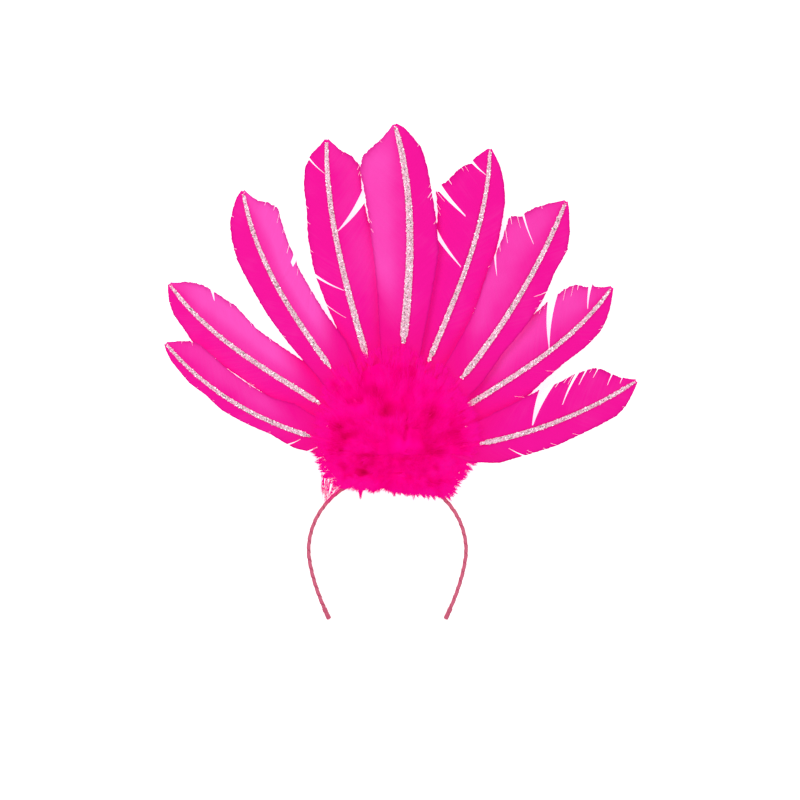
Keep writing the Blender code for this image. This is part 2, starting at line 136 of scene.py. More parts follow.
# How much of its colour a web gives back under the lamps, and how strongly it glows with painted light in its
# own colour that stands in for light through it; the same two for the down, whose painted glow stands in for
# light scattered through it
WEB_LIT_SHARE = 0.78
WEB_PAINTED_GLOW = 0.37
DOWN_LIT_SHARE = 0.42
DOWN_PAINTED_GLOW = 0.64

FEATHERS = records(
    "number layer root_angle tip_angle reach bow skew strip_start",
    (1, "front", 168, 153.9, 0.766, 0.092, 0.13, 0.27),
    (2, "back", 147, 142.6, 0.854, 0.032, 1.35, 0.27),
    (3, "front", 126, 119.6, 0.921, 0.053, 0.68, 0.31),
    (4, "back", 106, 101.9, 0.979, 0.031, 0.79, 0.27),
    (5, "front", 87, 89.7, 1.003, -0.046, 0.61, 0.30),
    (6, "back", 69, 72.4, 0.975, -0.037, 0.95, 0.27),
    (7, "front", 51, 55.7, 0.931, -0.053, 0.05, 0.29),
    (8, "back", 32, 37.4, 0.837, -0.040, 0.94, 0.26),
    (9, "front", 9, 16.9, 0.770, -0.066, 0.04, 0.29),
)

# Width of each web in hundredths of WEB_WIDTH at stations along the shaft, for the left and the
# right web of each feather in turn
WEB_STATIONS = (0.16, 0.25, 0.38, 0.50, 0.60, 0.70, 0.78, 0.85, 0.91, 0.96)
WEBS = (
    (30, 34, 24, 26, 27, 20, 22, 18, 15, 9),
    (42, 58, 50, 53, 55, 58, 57, 44, 29, 14),
    (38, 50, 46, 44, 45, 47, 38, 33, 23, 12),
    (42, 58, 61, 64, 78, 71, 62, 48, 32, 15),
    (36, 34, 43, 48, 49, 52, 48, 40, 27, 15),
    (44, 62, 60, 62, 62, 68, 72, 52, 28, 13),
    (36, 36, 52, 61, 59, 52, 52, 46, 31, 14),
    (46, 82, 85, 85, 78, 75, 76, 57, 33, 16),
    (42, 55, 72, 89, 98, 105, 89, 61, 37, 17),
    (36, 42, 52, 62, 57, 51, 48, 43, 29, 17),
    (44, 62, 72, 82, 93, 114, 82, 59, 38, 18),
    (40, 56, 55, 47, 50, 46, 43, 34, 24, 12),
    (42, 52, 66, 92, 97, 105, 78, 57, 36, 17),
    (34, 40, 37, 46, 47, 41, 44, 34, 22, 12),
    (44, 60, 78, 88, 90, 85, 70, 46, 28, 13),
    (42, 66, 53, 43, 39, 42, 40, 31, 20, 10),
    (44, 62, 78, 80, 84, 77, 60, 39, 23, 11),
    (34, 48, 46, 47, 44, 43, 42, 33, 21, 11),
)

# Splits between barbs: the station they leave the shaft at, how near the shaft the split ends as a
# share of the barb, how far the barbs below and above it are turned out, in degrees, and the share
# of the shaft's length over which the turn fades
SPLITS = records(
    "number side station apex turn_below turn_above spread",
    (3, "right", 0.640, 0.30, 23, 12, 0.045),
    (4, "left", 0.492, 0.12, 8, 4, 0.045),
    (4, "right", 0.690, 0.10, 11, -1, 0.045),
    (6, "left", 0.912, 0.20, 14, 7, 0.030),
    (6, "left", 0.728, 0.40, 21, 13, 0.080),
    (6, "left", 0.586, 0.14, 13, 7, 0.080),
    (7, "left", 0.785, 0.40, 8, 5, 0.120),
    (7, "left", 0.555, 0.76, 3, -4, 0.045),
    (8, "left", 0.860, 0.25, 0, -8, 0.045),
    (8, "left", 0.655, 0.10, 12, 1, 0.045),
    (9, "left", 0.510, 0.14, 19, 3, 0.070),
    # Fine slits besides the wide splits above
    (9, "left", 0.626, 0.40, 6, 1, 0.022),
    (9, "left", 0.674, 0.70, 4, 0, 0.016),
    (9, "left", 0.738, 0.86, 3, -1, 0.012),
    (9, "left", 0.845, 0.58, 3, -2, 0.018),
    (9, "left", 0.915, 0.62, 3, -3, 0.016),
    (1, "left", 0.285, 0.40, 4, -2, 0.020),
    (1, "left", 0.200, 0.45, 5, -2, 0.020),
    (9, "right", 0.360, 0.55, 3, -2, 0.030),
    (4, "left", 0.885, 0.22, 2, -2, 0.020),
    (5, "right", 0.700, 0.86, 3, -1, 0.020),
    (7, "right", 0.620, 0.60, 1, -1, 0.020),
    (2, "right", 0.740, 0.80, 8, -3, 0.030),
)

# Splits whose two sides still lap over each other, and the share of the barb from which they part
FOLDED_SPLITS = {(3, "right"): 0.80}

# Stretches of web edge that are frayed into narrow points
FRAYS = records(
    "number side start end splits apex turn",
    (1, "left", 0.40, 0.75, 5, 0.86, 2.0),
    (2, "left", 0.45, 0.70, 2, 0.90, 1.5),
    (3, "right", 0.58, 0.80, 6, 0.87, 2.8),
    (4, "left", 0.38, 0.48, 2, 0.50, 2.0),
    (5, "right", 0.72, 0.86, 2, 0.93, 1.6),
    (6, "left", 0.60, 0.70, 3, 0.88, 2.5),
    (6, "left", 0.76, 0.86, 2, 0.92, 2.0),
    (7, "left", 0.60, 0.76, 4, 0.87, 2.5),
    (8, "left", 0.66, 0.80, 4, 0.85, 3.0),
    (8, "right", 0.38, 0.55, 2, 0.80, 2.0),
    (9, "left", 0.53, 0.61, 3, 0.84, 3.0),
    (9, "right", 0.40, 0.60, 3, 0.84, 2.0),
)

# How strong the painted sheen is that lightens the broad web of each feather, which side that web is on,
# and the stations between which the painted sheen comes in
BROAD_WEB_SHEEN = {1: 0.50, 2: 1.32, 3: 1.50, 4: 0.24, 5: 0.98, 6: 0.0, 7: 0.76, 8: 0.82, 9: 0.06}
BROAD_SIDES = ("right",) * 4 + ("left",) * 5
SHEEN_FROM = (0.27, 0.46)

# Stations between which the deeper dye at a feather's foot fades out
FOOT_FADE = (0.20, 0.46)

# How far the glitter has spread on each feather, as a share of the strip's width
GLITTER_SPREAD = {1: 0.70, 2: 0.82, 3: 0.82, 4: 0.95, 5: 1.20, 6: 0.80, 7: 0.90, 8: 0.82, 9: 0.74}


# Putting worked-out surfaces into the scene

def add_piece(name, points, faces, finish, values=None, maps=None, body="root"):
    """Make a mesh from points and lists of faces, with values per point and UVs per point."""
    listed = [face for block in faces for face in block.tolist()]
    mesh = bpy.data.meshes.new(name)
    mesh.from_pydata(points.tolist(), [], listed)
    for key, numbers in (values or {}).items():
        layer = mesh.attributes.new(key, "FLOAT", "POINT")
        layer.data.foreach_set("value", np.asarray(numbers, np.float32))
    corner = np.empty(len(mesh.loops), np.int32)
    mesh.loops.foreach_get("vertex_index", corner)
    for key, pairs in (maps or {}).items():
        layer = mesh.uv_layers.new(name=key)
        layer.data.foreach_set("uv", np.asarray(pairs, np.float32)[corner].ravel())
    mesh.shade_smooth()
    mesh.materials.append(finish)
    piece = bpy.data.objects.new(name, mesh)
    bpy.context.scene.collection.objects.link(piece)
    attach(piece, body)
    return piece


def grid_faces(rows, columns):
    """Squares between neighbouring points of a grid, as a rows-1 by columns-1 array of them."""
    index = np.arange(rows * columns).reshape(rows, columns)
    return np.stack([index[:-1, :-1], index[:-1, 1:], index[1:, 1:], index[1:, :-1]], axis=-1)


def skin(rings):
    """Close a body over rings of points: squares between rings, and a fan of triangles at each end."""
    rows, sides = rings.shape[:2]
    index = np.arange(rows * sides).reshape(rows, sides)
    beside = np.roll(index, -1, axis=1)
    squares = np.stack([index[:-1], beside[:-1], beside[1:], index[1:]], axis=-1).reshape(-1, 4)
    poles = rings[[0, -1]].mean(axis=1)
    low = np.stack([beside[0], index[0], np.full(sides, rows * sides)], axis=-1)
    high = np.stack([index[-1], beside[-1], np.full(sides, rows * sides + 1)], axis=-1)
    points = np.concatenate([rings.reshape(-1, 3), poles])
    return points, outward(points, [squares, np.concatenate([low, high])])


def outward(points, faces):
    """Turn every face of a closed body round where its volume comes out negative."""
    volume = 0.0
    for block in faces:
        for third in range(2, block.shape[1]):
            a, b, c = points[block[:, 0]], points[block[:, third - 1]], points[block[:, third]]
            volume += np.einsum("ij,ij->i", a, np.cross(b, c)).sum()
    return faces if volume > 0 else [block[:, ::-1] for block in faces]


def raised(plan, height):
    """Points in plan with their heights."""
    return np.concatenate([plan, height[..., None]], axis=-1)


def beside_line(place, normal, across):
    """Points in plan at distances to the left of each place on a line."""
    return place[:, None] + normal[:, None] * across[..., None]


def tube(place, normal, across, height):
    """A closed body along a line in plan: each ring has its distances to the left and its heights."""
    return skin(raised(beside_line(place, normal, across), height))


def smooth_step(value, start, end):
    """A share that eases from 0 at the start to 1 at the end."""
    share = np.clip((value - start) / (end - start), 0, 1)
    return share * share * (3 - 2 * share)


def unit(vectors):
    """Vectors brought to the length of one."""
    return vectors / np.linalg.norm(vectors, axis=-1, keepdims=True)


def left_of(along):
    """Directions in plan a quarter turn to the left."""
    return np.stack([-along[:, 1], along[:, 0]], axis=1)


def soft_noise(at, scale, seed):
    """A smooth random wave along a line, between about -1 and 1: five sines of seeded phase."""
    source = np.random.default_rng(seed)
    total = np.zeros_like(at)
    for octave in range(5):
        phase = source.uniform(0, 2 * math.pi)
        total = total + np.sin(at * scale * (1 + octave * 0.73) + phase) / (1 + octave * 0.5)
    return total / 2.4


# Materials

class Paint:
    """A material in the making. Shares, colours and values may be sockets or plain values."""

    def __init__(self, name):
        self.finish = bpy.data.materials.new(name)
        self.finish.use_nodes = True
        self.nodes = self.finish.node_tree.nodes
        self.links = self.finish.node_tree.links
        self.shader = self.nodes["Principled BSDF"]

    def feed(self, node, inputs):
        """Link or set inputs of a node, by name or number. A plain colour becomes opaque."""
        for key, value in inputs.items():
            socket = node.inputs[key]
            if isinstance(value, bpy.types.NodeSocket):
                self.links.new(value, socket)
            else:
                socket.default_value = (*value, 1) if socket.type == "RGBA" else value

    def place(self):
        """Object coordinates."""
        return self.nodes.new("ShaderNodeTexCoord").outputs["Object"]

    def uv(self, name):
        """One of the mesh's own UV maps."""
        reader = self.nodes.new("ShaderNodeUVMap")
        reader.uv_map = name
        return reader.outputs["UV"]

    def attribute(self, name):
        """A value that each point of the mesh carries."""
        reader = self.nodes.new("ShaderNodeAttribute")
        reader.attribute_name = name
        return reader.outputs["Fac"]

    def mix(self, share, first, second):
        """A mix of two colours."""
        made = self.nodes.new("ShaderNodeMix")
        made.data_type = "RGBA"
        self.feed(made, {0: share, 6: first, 7: second})
        return made.outputs[2]

    def calculate(self, operation, *values):
        """A sum, a product or the like of values."""
        made = self.nodes.new("ShaderNodeMath")
        made.operation = operation
        self.feed(made, dict(enumerate(values)))
        return made.outputs[0]

    def scaled(self, value, times, plus=0.0):
        """A value times another, plus a third."""
        return self.calculate("MULTIPLY_ADD", value, times, plus)

    def noise(self, vector, scale, detail=2.0, rough=0.5, stretch=None):
        """Noise over coordinates, which may be stretched first."""
        if stretch:
            mapping = self.nodes.new("ShaderNodeMapping")
            self.feed(mapping, {"Vector": vector, "Scale": stretch})
            vector = mapping.outputs["Vector"]
        made = self.nodes.new("ShaderNodeTexNoise")
        self.feed(made, {"Vector": vector, "Scale": scale, "Detail": detail, "Roughness": rough})
        return made.outputs["Fac"]

    def ramp(self, share, stops):
        """A colour ramp with a colour at each of its places."""
        made = self.nodes.new("ShaderNodeValToRGB")
        elements = made.color_ramp.elements
        for at, colour in stops[2:]:
            elements.new(at)
        for element, (at, colour) in zip(elements, stops):
            element.position = at
            element.color = (*colour, 1)
        self.feed(made, {"Fac": share})
        return made.outputs["Color"]

    def surface(self, colour, roughness, **others):
        """The shader's own colour, roughness and other inputs."""
        self.feed(self.shader, {"Base Color": colour, "Roughness": roughness})
        self.feed(self.shader, {key.replace("_", " "): value for key, value in others.items()})

    def glow(self, colour, strength):
        """Emission in the given colour: the surface glows with painted light of its own, though it is no
        lamp.
        """
        self.feed(self.shader, {"Emission Color": colour, "Emission Strength": strength})

    def bump(self, height, strength, distance):
        """Small relief that the shader's normals follow."""
        made = self.nodes.new("ShaderNodeBump")
        self.feed(made, {"Height": height, "Strength": strength, "Distance": distance})
        self.feed(self.shader, {"Normal": made.outputs["Normal"]})


def vane_material():
    """Dyed goose web: fine lines along the barbs, and a painted sheen that makes the broad web paler."""
    paint = Paint("dyed_goose_web")
    barbs = paint.uv("barbs")
    streaks = paint.noise(barbs, 1.0, 3.0, 0.6, stretch=(420, 14, 1))
    fine = paint.noise(barbs, 1.0, 2.0, 0.6, stretch=(2600, 60, 1))
    clouds = paint.noise(paint.place(), 38.0)
    swing = paint.scaled(clouds, 0.44, paint.scaled(streaks, 0.36, -0.40))
    # Painted sheen: the broad web is mixed towards a paler, lighter pink, standing in for light glancing off
    # its fibres.
    pale = paint.calculate("ADD", paint.attribute("paleness"), swing)
    colour = paint.mix(pale, (0.85, 0.005, 0.315), (0.92, 0.085, 0.53))
    colour = paint.mix(paint.scaled(paint.attribute("foot"), 0.85), colour, (0.84, 0.002, 0.235))
    dark = paint.scaled(streaks, 0.20, paint.scaled(fine, 0.10))
    colour = paint.mix(dark, colour, (0.60, 0.0, 0.16))
    colour = paint.mix(paint.scaled(paint.attribute("rim"), 0.45), colour, (0.50, 0.001, 0.16))
    paint.surface(paint.mix(WEB_LIT_SHARE, (0, 0, 0), colour), 0.62, Specular_IOR_Level=0.05)
    # Painted glow in the web's own colour, standing in for light through the thin web.
    paint.glow(colour, WEB_PAINTED_GLOW)
    paint.bump(paint.scaled(fine, 0.6, streaks), 0.35, 0.0004)
    return paint.finish


def quill_material():
    """The shaft takes less dye than the web, and its dye varies along it."""
    paint = Paint("dyed_quill_shaft")
    place = paint.place()
    blotches = paint.noise(place, 120.0, 3.0)
    colour = paint.mix(blotches, (0.80, 0.001, 0.225), (0.84, 0.002, 0.26))
    paint.surface(colour, 0.55, Specular_IOR_Level=0.08)
    # Painted glow in the shaft's own colour, though it is no lamp.
    paint.glow(colour, 0.34)
    paint.bump(paint.noise(place, 900.0), 0.15, 0.0002)
    return paint.finish


def glue_material():
    """Pink glitter glue: cells of fine glitter set in it."""
    paint = Paint("pink_glitter_glue")
    cells = paint.nodes.new("ShaderNodeTexVoronoi")
    paint.feed(cells, {"Vector": paint.place(), "Scale": 1500.0})
    split = paint.nodes.new("ShaderNodeSeparateColor")
    paint.links.new(cells.outputs["Color"], split.inputs[0])
    colour = paint.ramp(split.outputs[0], (
        (0.0, (0.52, 0.24, 0.30)), (0.3, (0.78, 0.36, 0.50)), (0.6, (0.92, 0.50, 0.66)),
        (1.0, (1.0, 0.80, 0.87))))
    paint.surface(colour, 0.35, Metallic=0.15)
    # Painted glow in the glue's own colour, though it is no lamp.
    paint.glow(colour, 0.08)
    paint.bump(split.outputs[1], 0.6, 0.0003)
    return paint.finish


def flake_material():
    """Glitter flakes: pale pink, silver, white and a little grey gold, one tint to each flake."""
    paint = Paint("pink_silver_glitter")
    tint = paint.ramp(paint.attribute("tint"), (
        (0.0, (0.24, 0.15, 0.15)), (0.18, (0.50, 0.33, 0.34)), (0.36, (0.90, 0.36, 0.58)),
        (0.62, (0.98, 0.62, 0.80)), (1.0, (1.0, 0.98, 1.0))))
    grain = paint.noise(paint.place(), 2500.0, 1.0)
    colour = paint.mix(paint.scaled(grain, 0.2), tint, (0.9, 0.75, 0.8))
    paint.surface(colour, 0.28, Metallic=0.55)
    # Painted glow in each flake's own colour, though it is no lamp.
    paint.glow(colour, 0.10)
    return paint.finish


def down_material():
    """Hot pink marabou down, with a painted glow that keeps the shade between its strands soft, in place of
    light scattered through it.
    """
    paint = Paint("hot_pink_marabou_down")
    place = paint.place()
    clouds = paint.noise(place, 48.0, 1.5)
    locks = paint.noise(place, 130.0, 1.5, stretch=(1.0, 0.55, 1.0))
    swing = paint.scaled(locks, 0.55, paint.scaled(clouds, 1.20, -0.81))
    light = paint.calculate("ADD", paint.attribute("light"), swing)
    colour = paint.ramp(paint.scaled(light, 0.80), (
        (0.0, (0.44, 0.0, 0.045)), (0.32, (0.74, 0.0, 0.12)), (0.60, (0.93, 0.0, 0.225)),
        (0.80, (0.99, 0.001, 0.305)), (1.0, (0.98, 0.004, 0.345))))
    paint.surface(paint.mix(DOWN_LIT_SHARE, (0, 0, 0), colour), 0.95, Specular_IOR_Level=0.0)
    # Painted glow in the down's own colour, though it is no lamp.
    paint.glow(colour, DOWN_PAINTED_GLOW)
    return paint.finish


def satin_material():
    """Rose satin ribbon wound in a spiral: one overlap line to each turn, a fine weave across it, and painted
    shade towards its edges.
    """
    paint = Paint("rose_satin_ribbon")
    wrap = paint.uv("wrap")
    split = paint.nodes.new("ShaderNodeSeparateXYZ")
    paint.links.new(wrap, split.inputs[0])
    phase = paint.calculate("FRACT", split.outputs[0])
    seam = paint.scaled(paint.calculate("SMOOTH_MIN", phase, 0.2, 0.1), 5.0)
    threads = paint.noise(wrap, 1.0, 3.0, 0.6, stretch=(40, 3, 1))
    base = paint.mix(threads, (0.58, 0.075, 0.165), (0.76, 0.155, 0.265))
    colour = paint.mix(seam, (0.46, 0.03, 0.10), base)
    # Painted shade: the colour darkens where the section turns away towards the strip's edges.
    colour = paint.mix(paint.scaled(paint.attribute("edge"), 0.75), colour, (0.40, 0.018, 0.07))
    paint.surface(colour, 0.34, Specular_IOR_Level=0.45, Anisotropic=0.4)
    paint.bump(paint.scaled(threads, 0.3, seam), 0.5, 0.0003)
    return paint.finish


def felt_material():
    """Pink felt: short matted fibres in every direction."""
    paint = Paint("pink_felt")
    place = paint.place()
    fibres = paint.noise(place, 700.0, 5.0, 0.75, stretch=(1, 3, 1))
    share = paint.scaled(fibres, 0.7, paint.scaled(paint.noise(place, 160.0, 3.0), 0.3))
    paint.surface(paint.mix(share, (0.45, 0.0, 0.12), (0.85, 0.02, 0.28)), 0.96, Specular_IOR_Level=0.1)
    paint.bump(fibres, 0.7, 0.0005)
    return paint.finish


def table_material():
    """A white table top that is lit evenly, so that it shows no shadow."""
    paint = Paint("white_table")
    colour = paint.mix(paint.noise(paint.place(), 60.0), (0.80, 0.80, 0.80), (0.84, 0.84, 0.84))
    paint.surface(colour, 1.0, Specular_IOR_Level=0.0)
    paint.glow((1, 1, 1), 0.75)
    return paint.finish


# The feathers

def fall_back(radius):
    """How far the fan dishes back at a distance from the hub, down to the table at its longest tip."""
    back_reaches = [feather["reach"] for feather in FEATHERS if feather["layer"] == "back"]
    tip = max(back_reaches) * FAN_REACH
    depth = QUILL_AXIS - SHAFT_TIP_DIAMETER / 2
    return depth * (np.maximum(radius - BASE_RADIUS, 0) / (tip - BASE_RADIUS)) ** 2


def layer_height(x, y, layer):
    """Height of the shafts' axes over a point: the front layer is lifted beyond the quill roots."""
    radius = np.hypot(x - HUB_X, y - HUB_Y)
    lift = smooth_step(radius, LIFT_START, LIFT_END) * LAYER_PITCH if layer == "front" else 0.0
    return QUILL_AXIS + lift - fall_back(radius)


def shaft_curve(feather, stations):
    """A shaft in plan, a straight chord with a leaning bow: points, and directions along and left."""
    root, tip = math.radians(feather["root_angle"]), math.radians(feather["tip_angle"])
    start = np.array([HUB_X + QUILL_RING * math.cos(root), HUB_Y + QUILL_RING * math.sin(root)])
    reach = feather["reach"] * FAN_REACH
    end = np.array([HUB_X + reach * math.cos(tip), HUB_Y + reach * math.sin(tip)])
    chord = end - start
    side = np.array([-chord[1], chord[0]])

    def place(share):
        bow = feather["bow"] * 4 * share * (1 - share) * (1 + feather["skew"] * (2 * share - 1))
        return start + share[:, None] * chord + bow[:, None] * side

    step = 0.001
    along = unit(place(stations + step) - place(stations - step))
    return place(stations), along, left_of(along)


def shaft_length(feather):
    """Length of a shaft in plan."""
    points = shaft_curve(feather, np.linspace(0, 1, 60))[0]
    return np.linalg.norm(np.diff(points, axis=0), axis=1).sum()


def splits_of(feather, side):
    """The named splits of a web, its frayed stretches and a few small nicks, in one list."""
    own = (feather["number"], side)
    rows = [dict(row) for row in SPLITS if (row["number"], row["side"]) == own]
    source = np.random.default_rng(feather["number"] * 10 + (side == "left"))
    taken = [row["station"] for row in rows]
    for fray in FRAYS:
        if (fray["number"], fray["side"]) != own:
            continue
        for at in np.linspace(fray["start"], fray["end"], fray["splits"]):
            at = at + source.uniform(-0.008, 0.008)
            turn = fray["turn"] * source.uniform(0.2, 0.7)
            apex = min(fray["apex"] + source.uniform(-0.08, 0.10), 0.95)
            rows.append(dict(station=at, apex=apex, turn_below=turn, turn_above=-turn * 0.4, spread=0.010))
    for at in source.uniform(0.38, 0.93, 3):
        turn = source.uniform(0.3, 0.9)
        apex = source.uniform(0.90, 0.97)
        rows.append(dict(station=at, apex=apex, turn_below=turn, turn_above=-turn * 0.5, spread=0.006))
    kept = []
    for row in rows:
        named = row["station"] in taken
        if named or all(abs(row["station"] - other) > SPLIT_SPACING for other in taken):
            row["closed_to"] = FOLDED_SPLITS.get(own, row["apex"]) if named else row["apex"]
            taken.append(row["station"])
            kept.append(row)
    return kept


def web_side(feather, side):
    """One web as a surface over (station on the shaft, share of the barb's length).

    Barbs leave the shaft at BARB_SWEEP plus a little, and curl towards the tip. Each row steps along
    its barb, so a point is the running sum of steps out from the shaft and forward along it.
    """
    splits = splits_of(feather, side)
    stations = np.linspace(BARE_QUILL_SHARE, 1, WEB_ROWS)
    for split in splits:
        far = np.abs(stations - split["station"]) >= SLIT_CLEARANCE
        edges = (split["station"] - SLIT_HALF, split["station"] + SLIT_HALF)
        stations = np.concatenate([stations[far], edges])
    stations = np.sort(stations)
    share = np.linspace(0, 1, WEB_COLUMNS)
    known = (BARE_QUILL_SHARE, *WEB_STATIONS, 1.0)
    least = BARE_QUILL_WEB / WEB_WIDTH
    web = np.array(WEBS[2 * feather["number"] - 2 + (side == "right")]) / 100
    width = np.interp(stations, known, (least, *web, least)) * WEB_WIDTH
    seed = feather["number"] * 7 + (side == "left")
    source = np.random.default_rng(seed)
    ragged = 1 + EDGE_WANDER * soft_noise(stations, 160, seed)
    ragged = ragged + EDGE_ROUGHNESS * source.uniform(-1, 1, len(stations))
    sway = np.radians(0.8 * soft_noise(stations, 60, seed + 50))
    angle = BARB_SWEEP + BARB_CURL * (1 - 2 * share)[None, :] + sway[:, None]
    lift = np.zeros((len(stations), WEB_COLUMNS))
    closed = np.ones((len(stations) - 1, WEB_COLUMNS - 1), bool)
    for split in splits:
        away = stations - split["station"]
        turn = np.radians(np.where(away < 0, split["turn_below"], split["turn_above"]))
        fade = np.exp(-np.maximum(np.abs(away) - SLIT_HALF, 0) / split["spread"])
        opening = smooth_step(share, split["apex"] - 0.35, split["apex"] + 0.12)
        angle = angle + (turn * fade)[:, None] * opening
        lift = lift + (SPLIT_LIFT * np.sign(away) * fade)[:, None] * opening * (share > split["apex"])
        gap = np.searchsorted(stations, split["station"]) - 1
        closed[gap, share[1:] > split["closed_to"] + 1e-6] = False
    middle = (angle[:, 1:] + angle[:, :-1]) / 2
    zero = np.zeros((len(stations), 1))
    out = np.concatenate([zero, np.cumsum(np.sin(middle), axis=1)], axis=1)
    forward = np.concatenate([zero, np.cumsum(np.cos(middle), axis=1)], axis=1)
    step = (width * ragged)[:, None] / out[:, -1:]
    out = SHAFT_EDGE * 0.3 + out * step
    place, along, normal = shaft_curve(feather, stations)
    sign = 1 if side == "left" else -1
    plan = beside_line(place, normal, sign * out) + along[:, None] * (forward * step)[..., None]
    ripple = RIPPLE_RISE * soft_noise(stations, 75, seed + 90)[:, None] * share
    camber = WEB_CAMBER * (out / WEB_WIDTH) ** 2
    height = layer_height(plan[..., 0], plan[..., 1], feather["layer"]) - camber
    points = raised(plan, np.maximum(height + ripple + lift, WEB_SHEET))
    faces = grid_faces(len(stations), WEB_COLUMNS)[closed]
    run = np.broadcast_to((stations * shaft_length(feather))[:, None] + seed, out.shape)
    barb_map = np.stack([run, step * (WEB_COLUMNS - 1) * share], axis=-1)
    # Painted sheen on the broad web only, strongest out along the barbs and higher up the shaft.
    broad = BROAD_WEB_SHEEN[feather["number"]] if side == BROAD_SIDES[feather["number"] - 1] else 0.0
    outer = smooth_step(share, 0.10, 0.55) * (1 - 0.55 * smooth_step(share, 0.84, 1.0))
    up_shaft = smooth_step(stations, *SHEEN_FROM) * (1 - 0.55 * smooth_step(stations, 0.80, 0.98))
    values = {
        "paleness": broad * (0.26 + 0.50 * outer) * up_shaft[:, None],
        "rim": np.broadcast_to(smooth_step(share, 0.84, 1.0), out.shape),
        "foot": np.broadcast_to(1 - smooth_step(stations, *FOOT_FADE)[:, None], out.shape),
    }
    values = {name: numbers.reshape(-1) for name, numbers in values.items()}
    return points.reshape(-1, 3), faces, barb_map.reshape(-1, 2), values


def make_vane(feather, finish):
    """Both webs of a feather as thin sheets, thickened by a Solidify modifier."""
    number = feather["number"]
    points, faces, barbs, values = zip(*[web_side(feather, side) for side in ("left", "right")])
    faces = [faces[0][:, ::-1], faces[1] + len(points[0])]
    values = {name: np.concatenate([web[name] for web in values]) for name in values[0]}
    maps = {"barbs": np.concatenate(barbs)}
    piece = add_piece(f"web_{number}", np.concatenate(points), faces, finish, values, maps)
    sheet = piece.modifiers.new("sheet", "SOLIDIFY")
    sheet.thickness = WEB_SHEET
    sheet.offset = 0
    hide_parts(f"feather_{number}")


def make_shaft(feather, finish):
    """A tapering tube along the shaft, a little flattened, with a groove down its back."""
    stations = np.concatenate([np.linspace(0, 0.985, 64), [0.994, 1.0, 1.003]])
    place, along, normal = shaft_curve(feather, stations)
    known = (QUILL_DIAMETER * 0.36, QUILL_DIAMETER / 2, SHAFT_TIP_DIAMETER / 2)
    radius = np.interp(stations, (0, 0.04, 1), known)
    radius = radius * np.sqrt(np.clip((1.0035 - stations) / 0.010, 0.02, 1))
    turn = np.linspace(0, 2 * math.pi, 12, endpoint=False)
    groove = 1 - 0.30 * np.exp(-((turn - 1.5 * math.pi) / 0.35) ** 2)
    flat = radius[:, None] * np.cos(turn) * groove
    rise = 0.75 * radius[:, None] * np.sin(turn) * groove
    axis = layer_height(place[:, 0], place[:, 1], feather["layer"])
    points, faces = tube(place, normal, flat, np.maximum(axis[:, None] + rise, LOWEST_SHAFT))
    piece = add_piece(f"shaft_{feather['number']}", points, faces, finish)


# The glitter

def strip_shape(feather, stations):
    """Middle, sideways direction, half width and lowest height of a glitter strip at its stations."""
    share = (stations - feather["strip_start"]) / (STRIP_END_SHARE - feather["strip_start"])
    place, along, normal = shaft_curve(feather, stations)
    ends = np.clip(share / STRIP_START_TAPER, 0.45, 1) ** 0.8 * np.interp(share, (0, 0.93, 1), (1, 1, 0.72))
    half = GLITTER_SPREAD[feather["number"]] * STRIP_WIDTH / 2 * (1 - STRIP_NARROWING * share) * ends
    shaft = np.interp(stations, (0, 1), (QUILL_DIAMETER, SHAFT_TIP_DIAMETER)) / 2
    bottom = layer_height(place[:, 0], place[:, 1], feather["layer"]) + shaft
    return place, normal, half, bottom


def make_glue_line(feather, finish):
    """A low bead of glue: a half-round section carried along the shaft, its edges wandering a little."""
    stations = np.linspace(feather["strip_start"], STRIP_END_SHARE, 210)
    place, normal, half, bottom = strip_shape(feather, stations)
    seed = feather["number"] * 31
    waves = [0.13 * soft_noise(stations, slow, own) + 0.05 * soft_noise(stations, quick, own + 1)
             for slow, quick, own in ((420, 1400, seed), (390, 1300, seed + 2))]
    left, right = (half * (1 + wave) for wave in waves)
    turn = np.linspace(0, math.pi, 9)
    across = np.where(np.cos(turn) > 0, left[:, None], right[:, None]) * np.cos(turn)
    top = bottom[:, None] + GAP + STRIP_THICKNESS * (0.25 + 0.75 * np.sin(turn) ** 0.7)
    under = across[:, ::-4]
    low = np.broadcast_to(bottom[:, None] + GAP * 0.2, under.shape)
    height = np.concatenate([top, low], axis=1)
    points, faces = tube(place, normal, np.concatenate([across, under], axis=1), height)
    piece = add_piece(f"glitter_glue_{feather['number']}", points, faces, finish)
    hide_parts(f"glitter_strip_{feather['number']}")


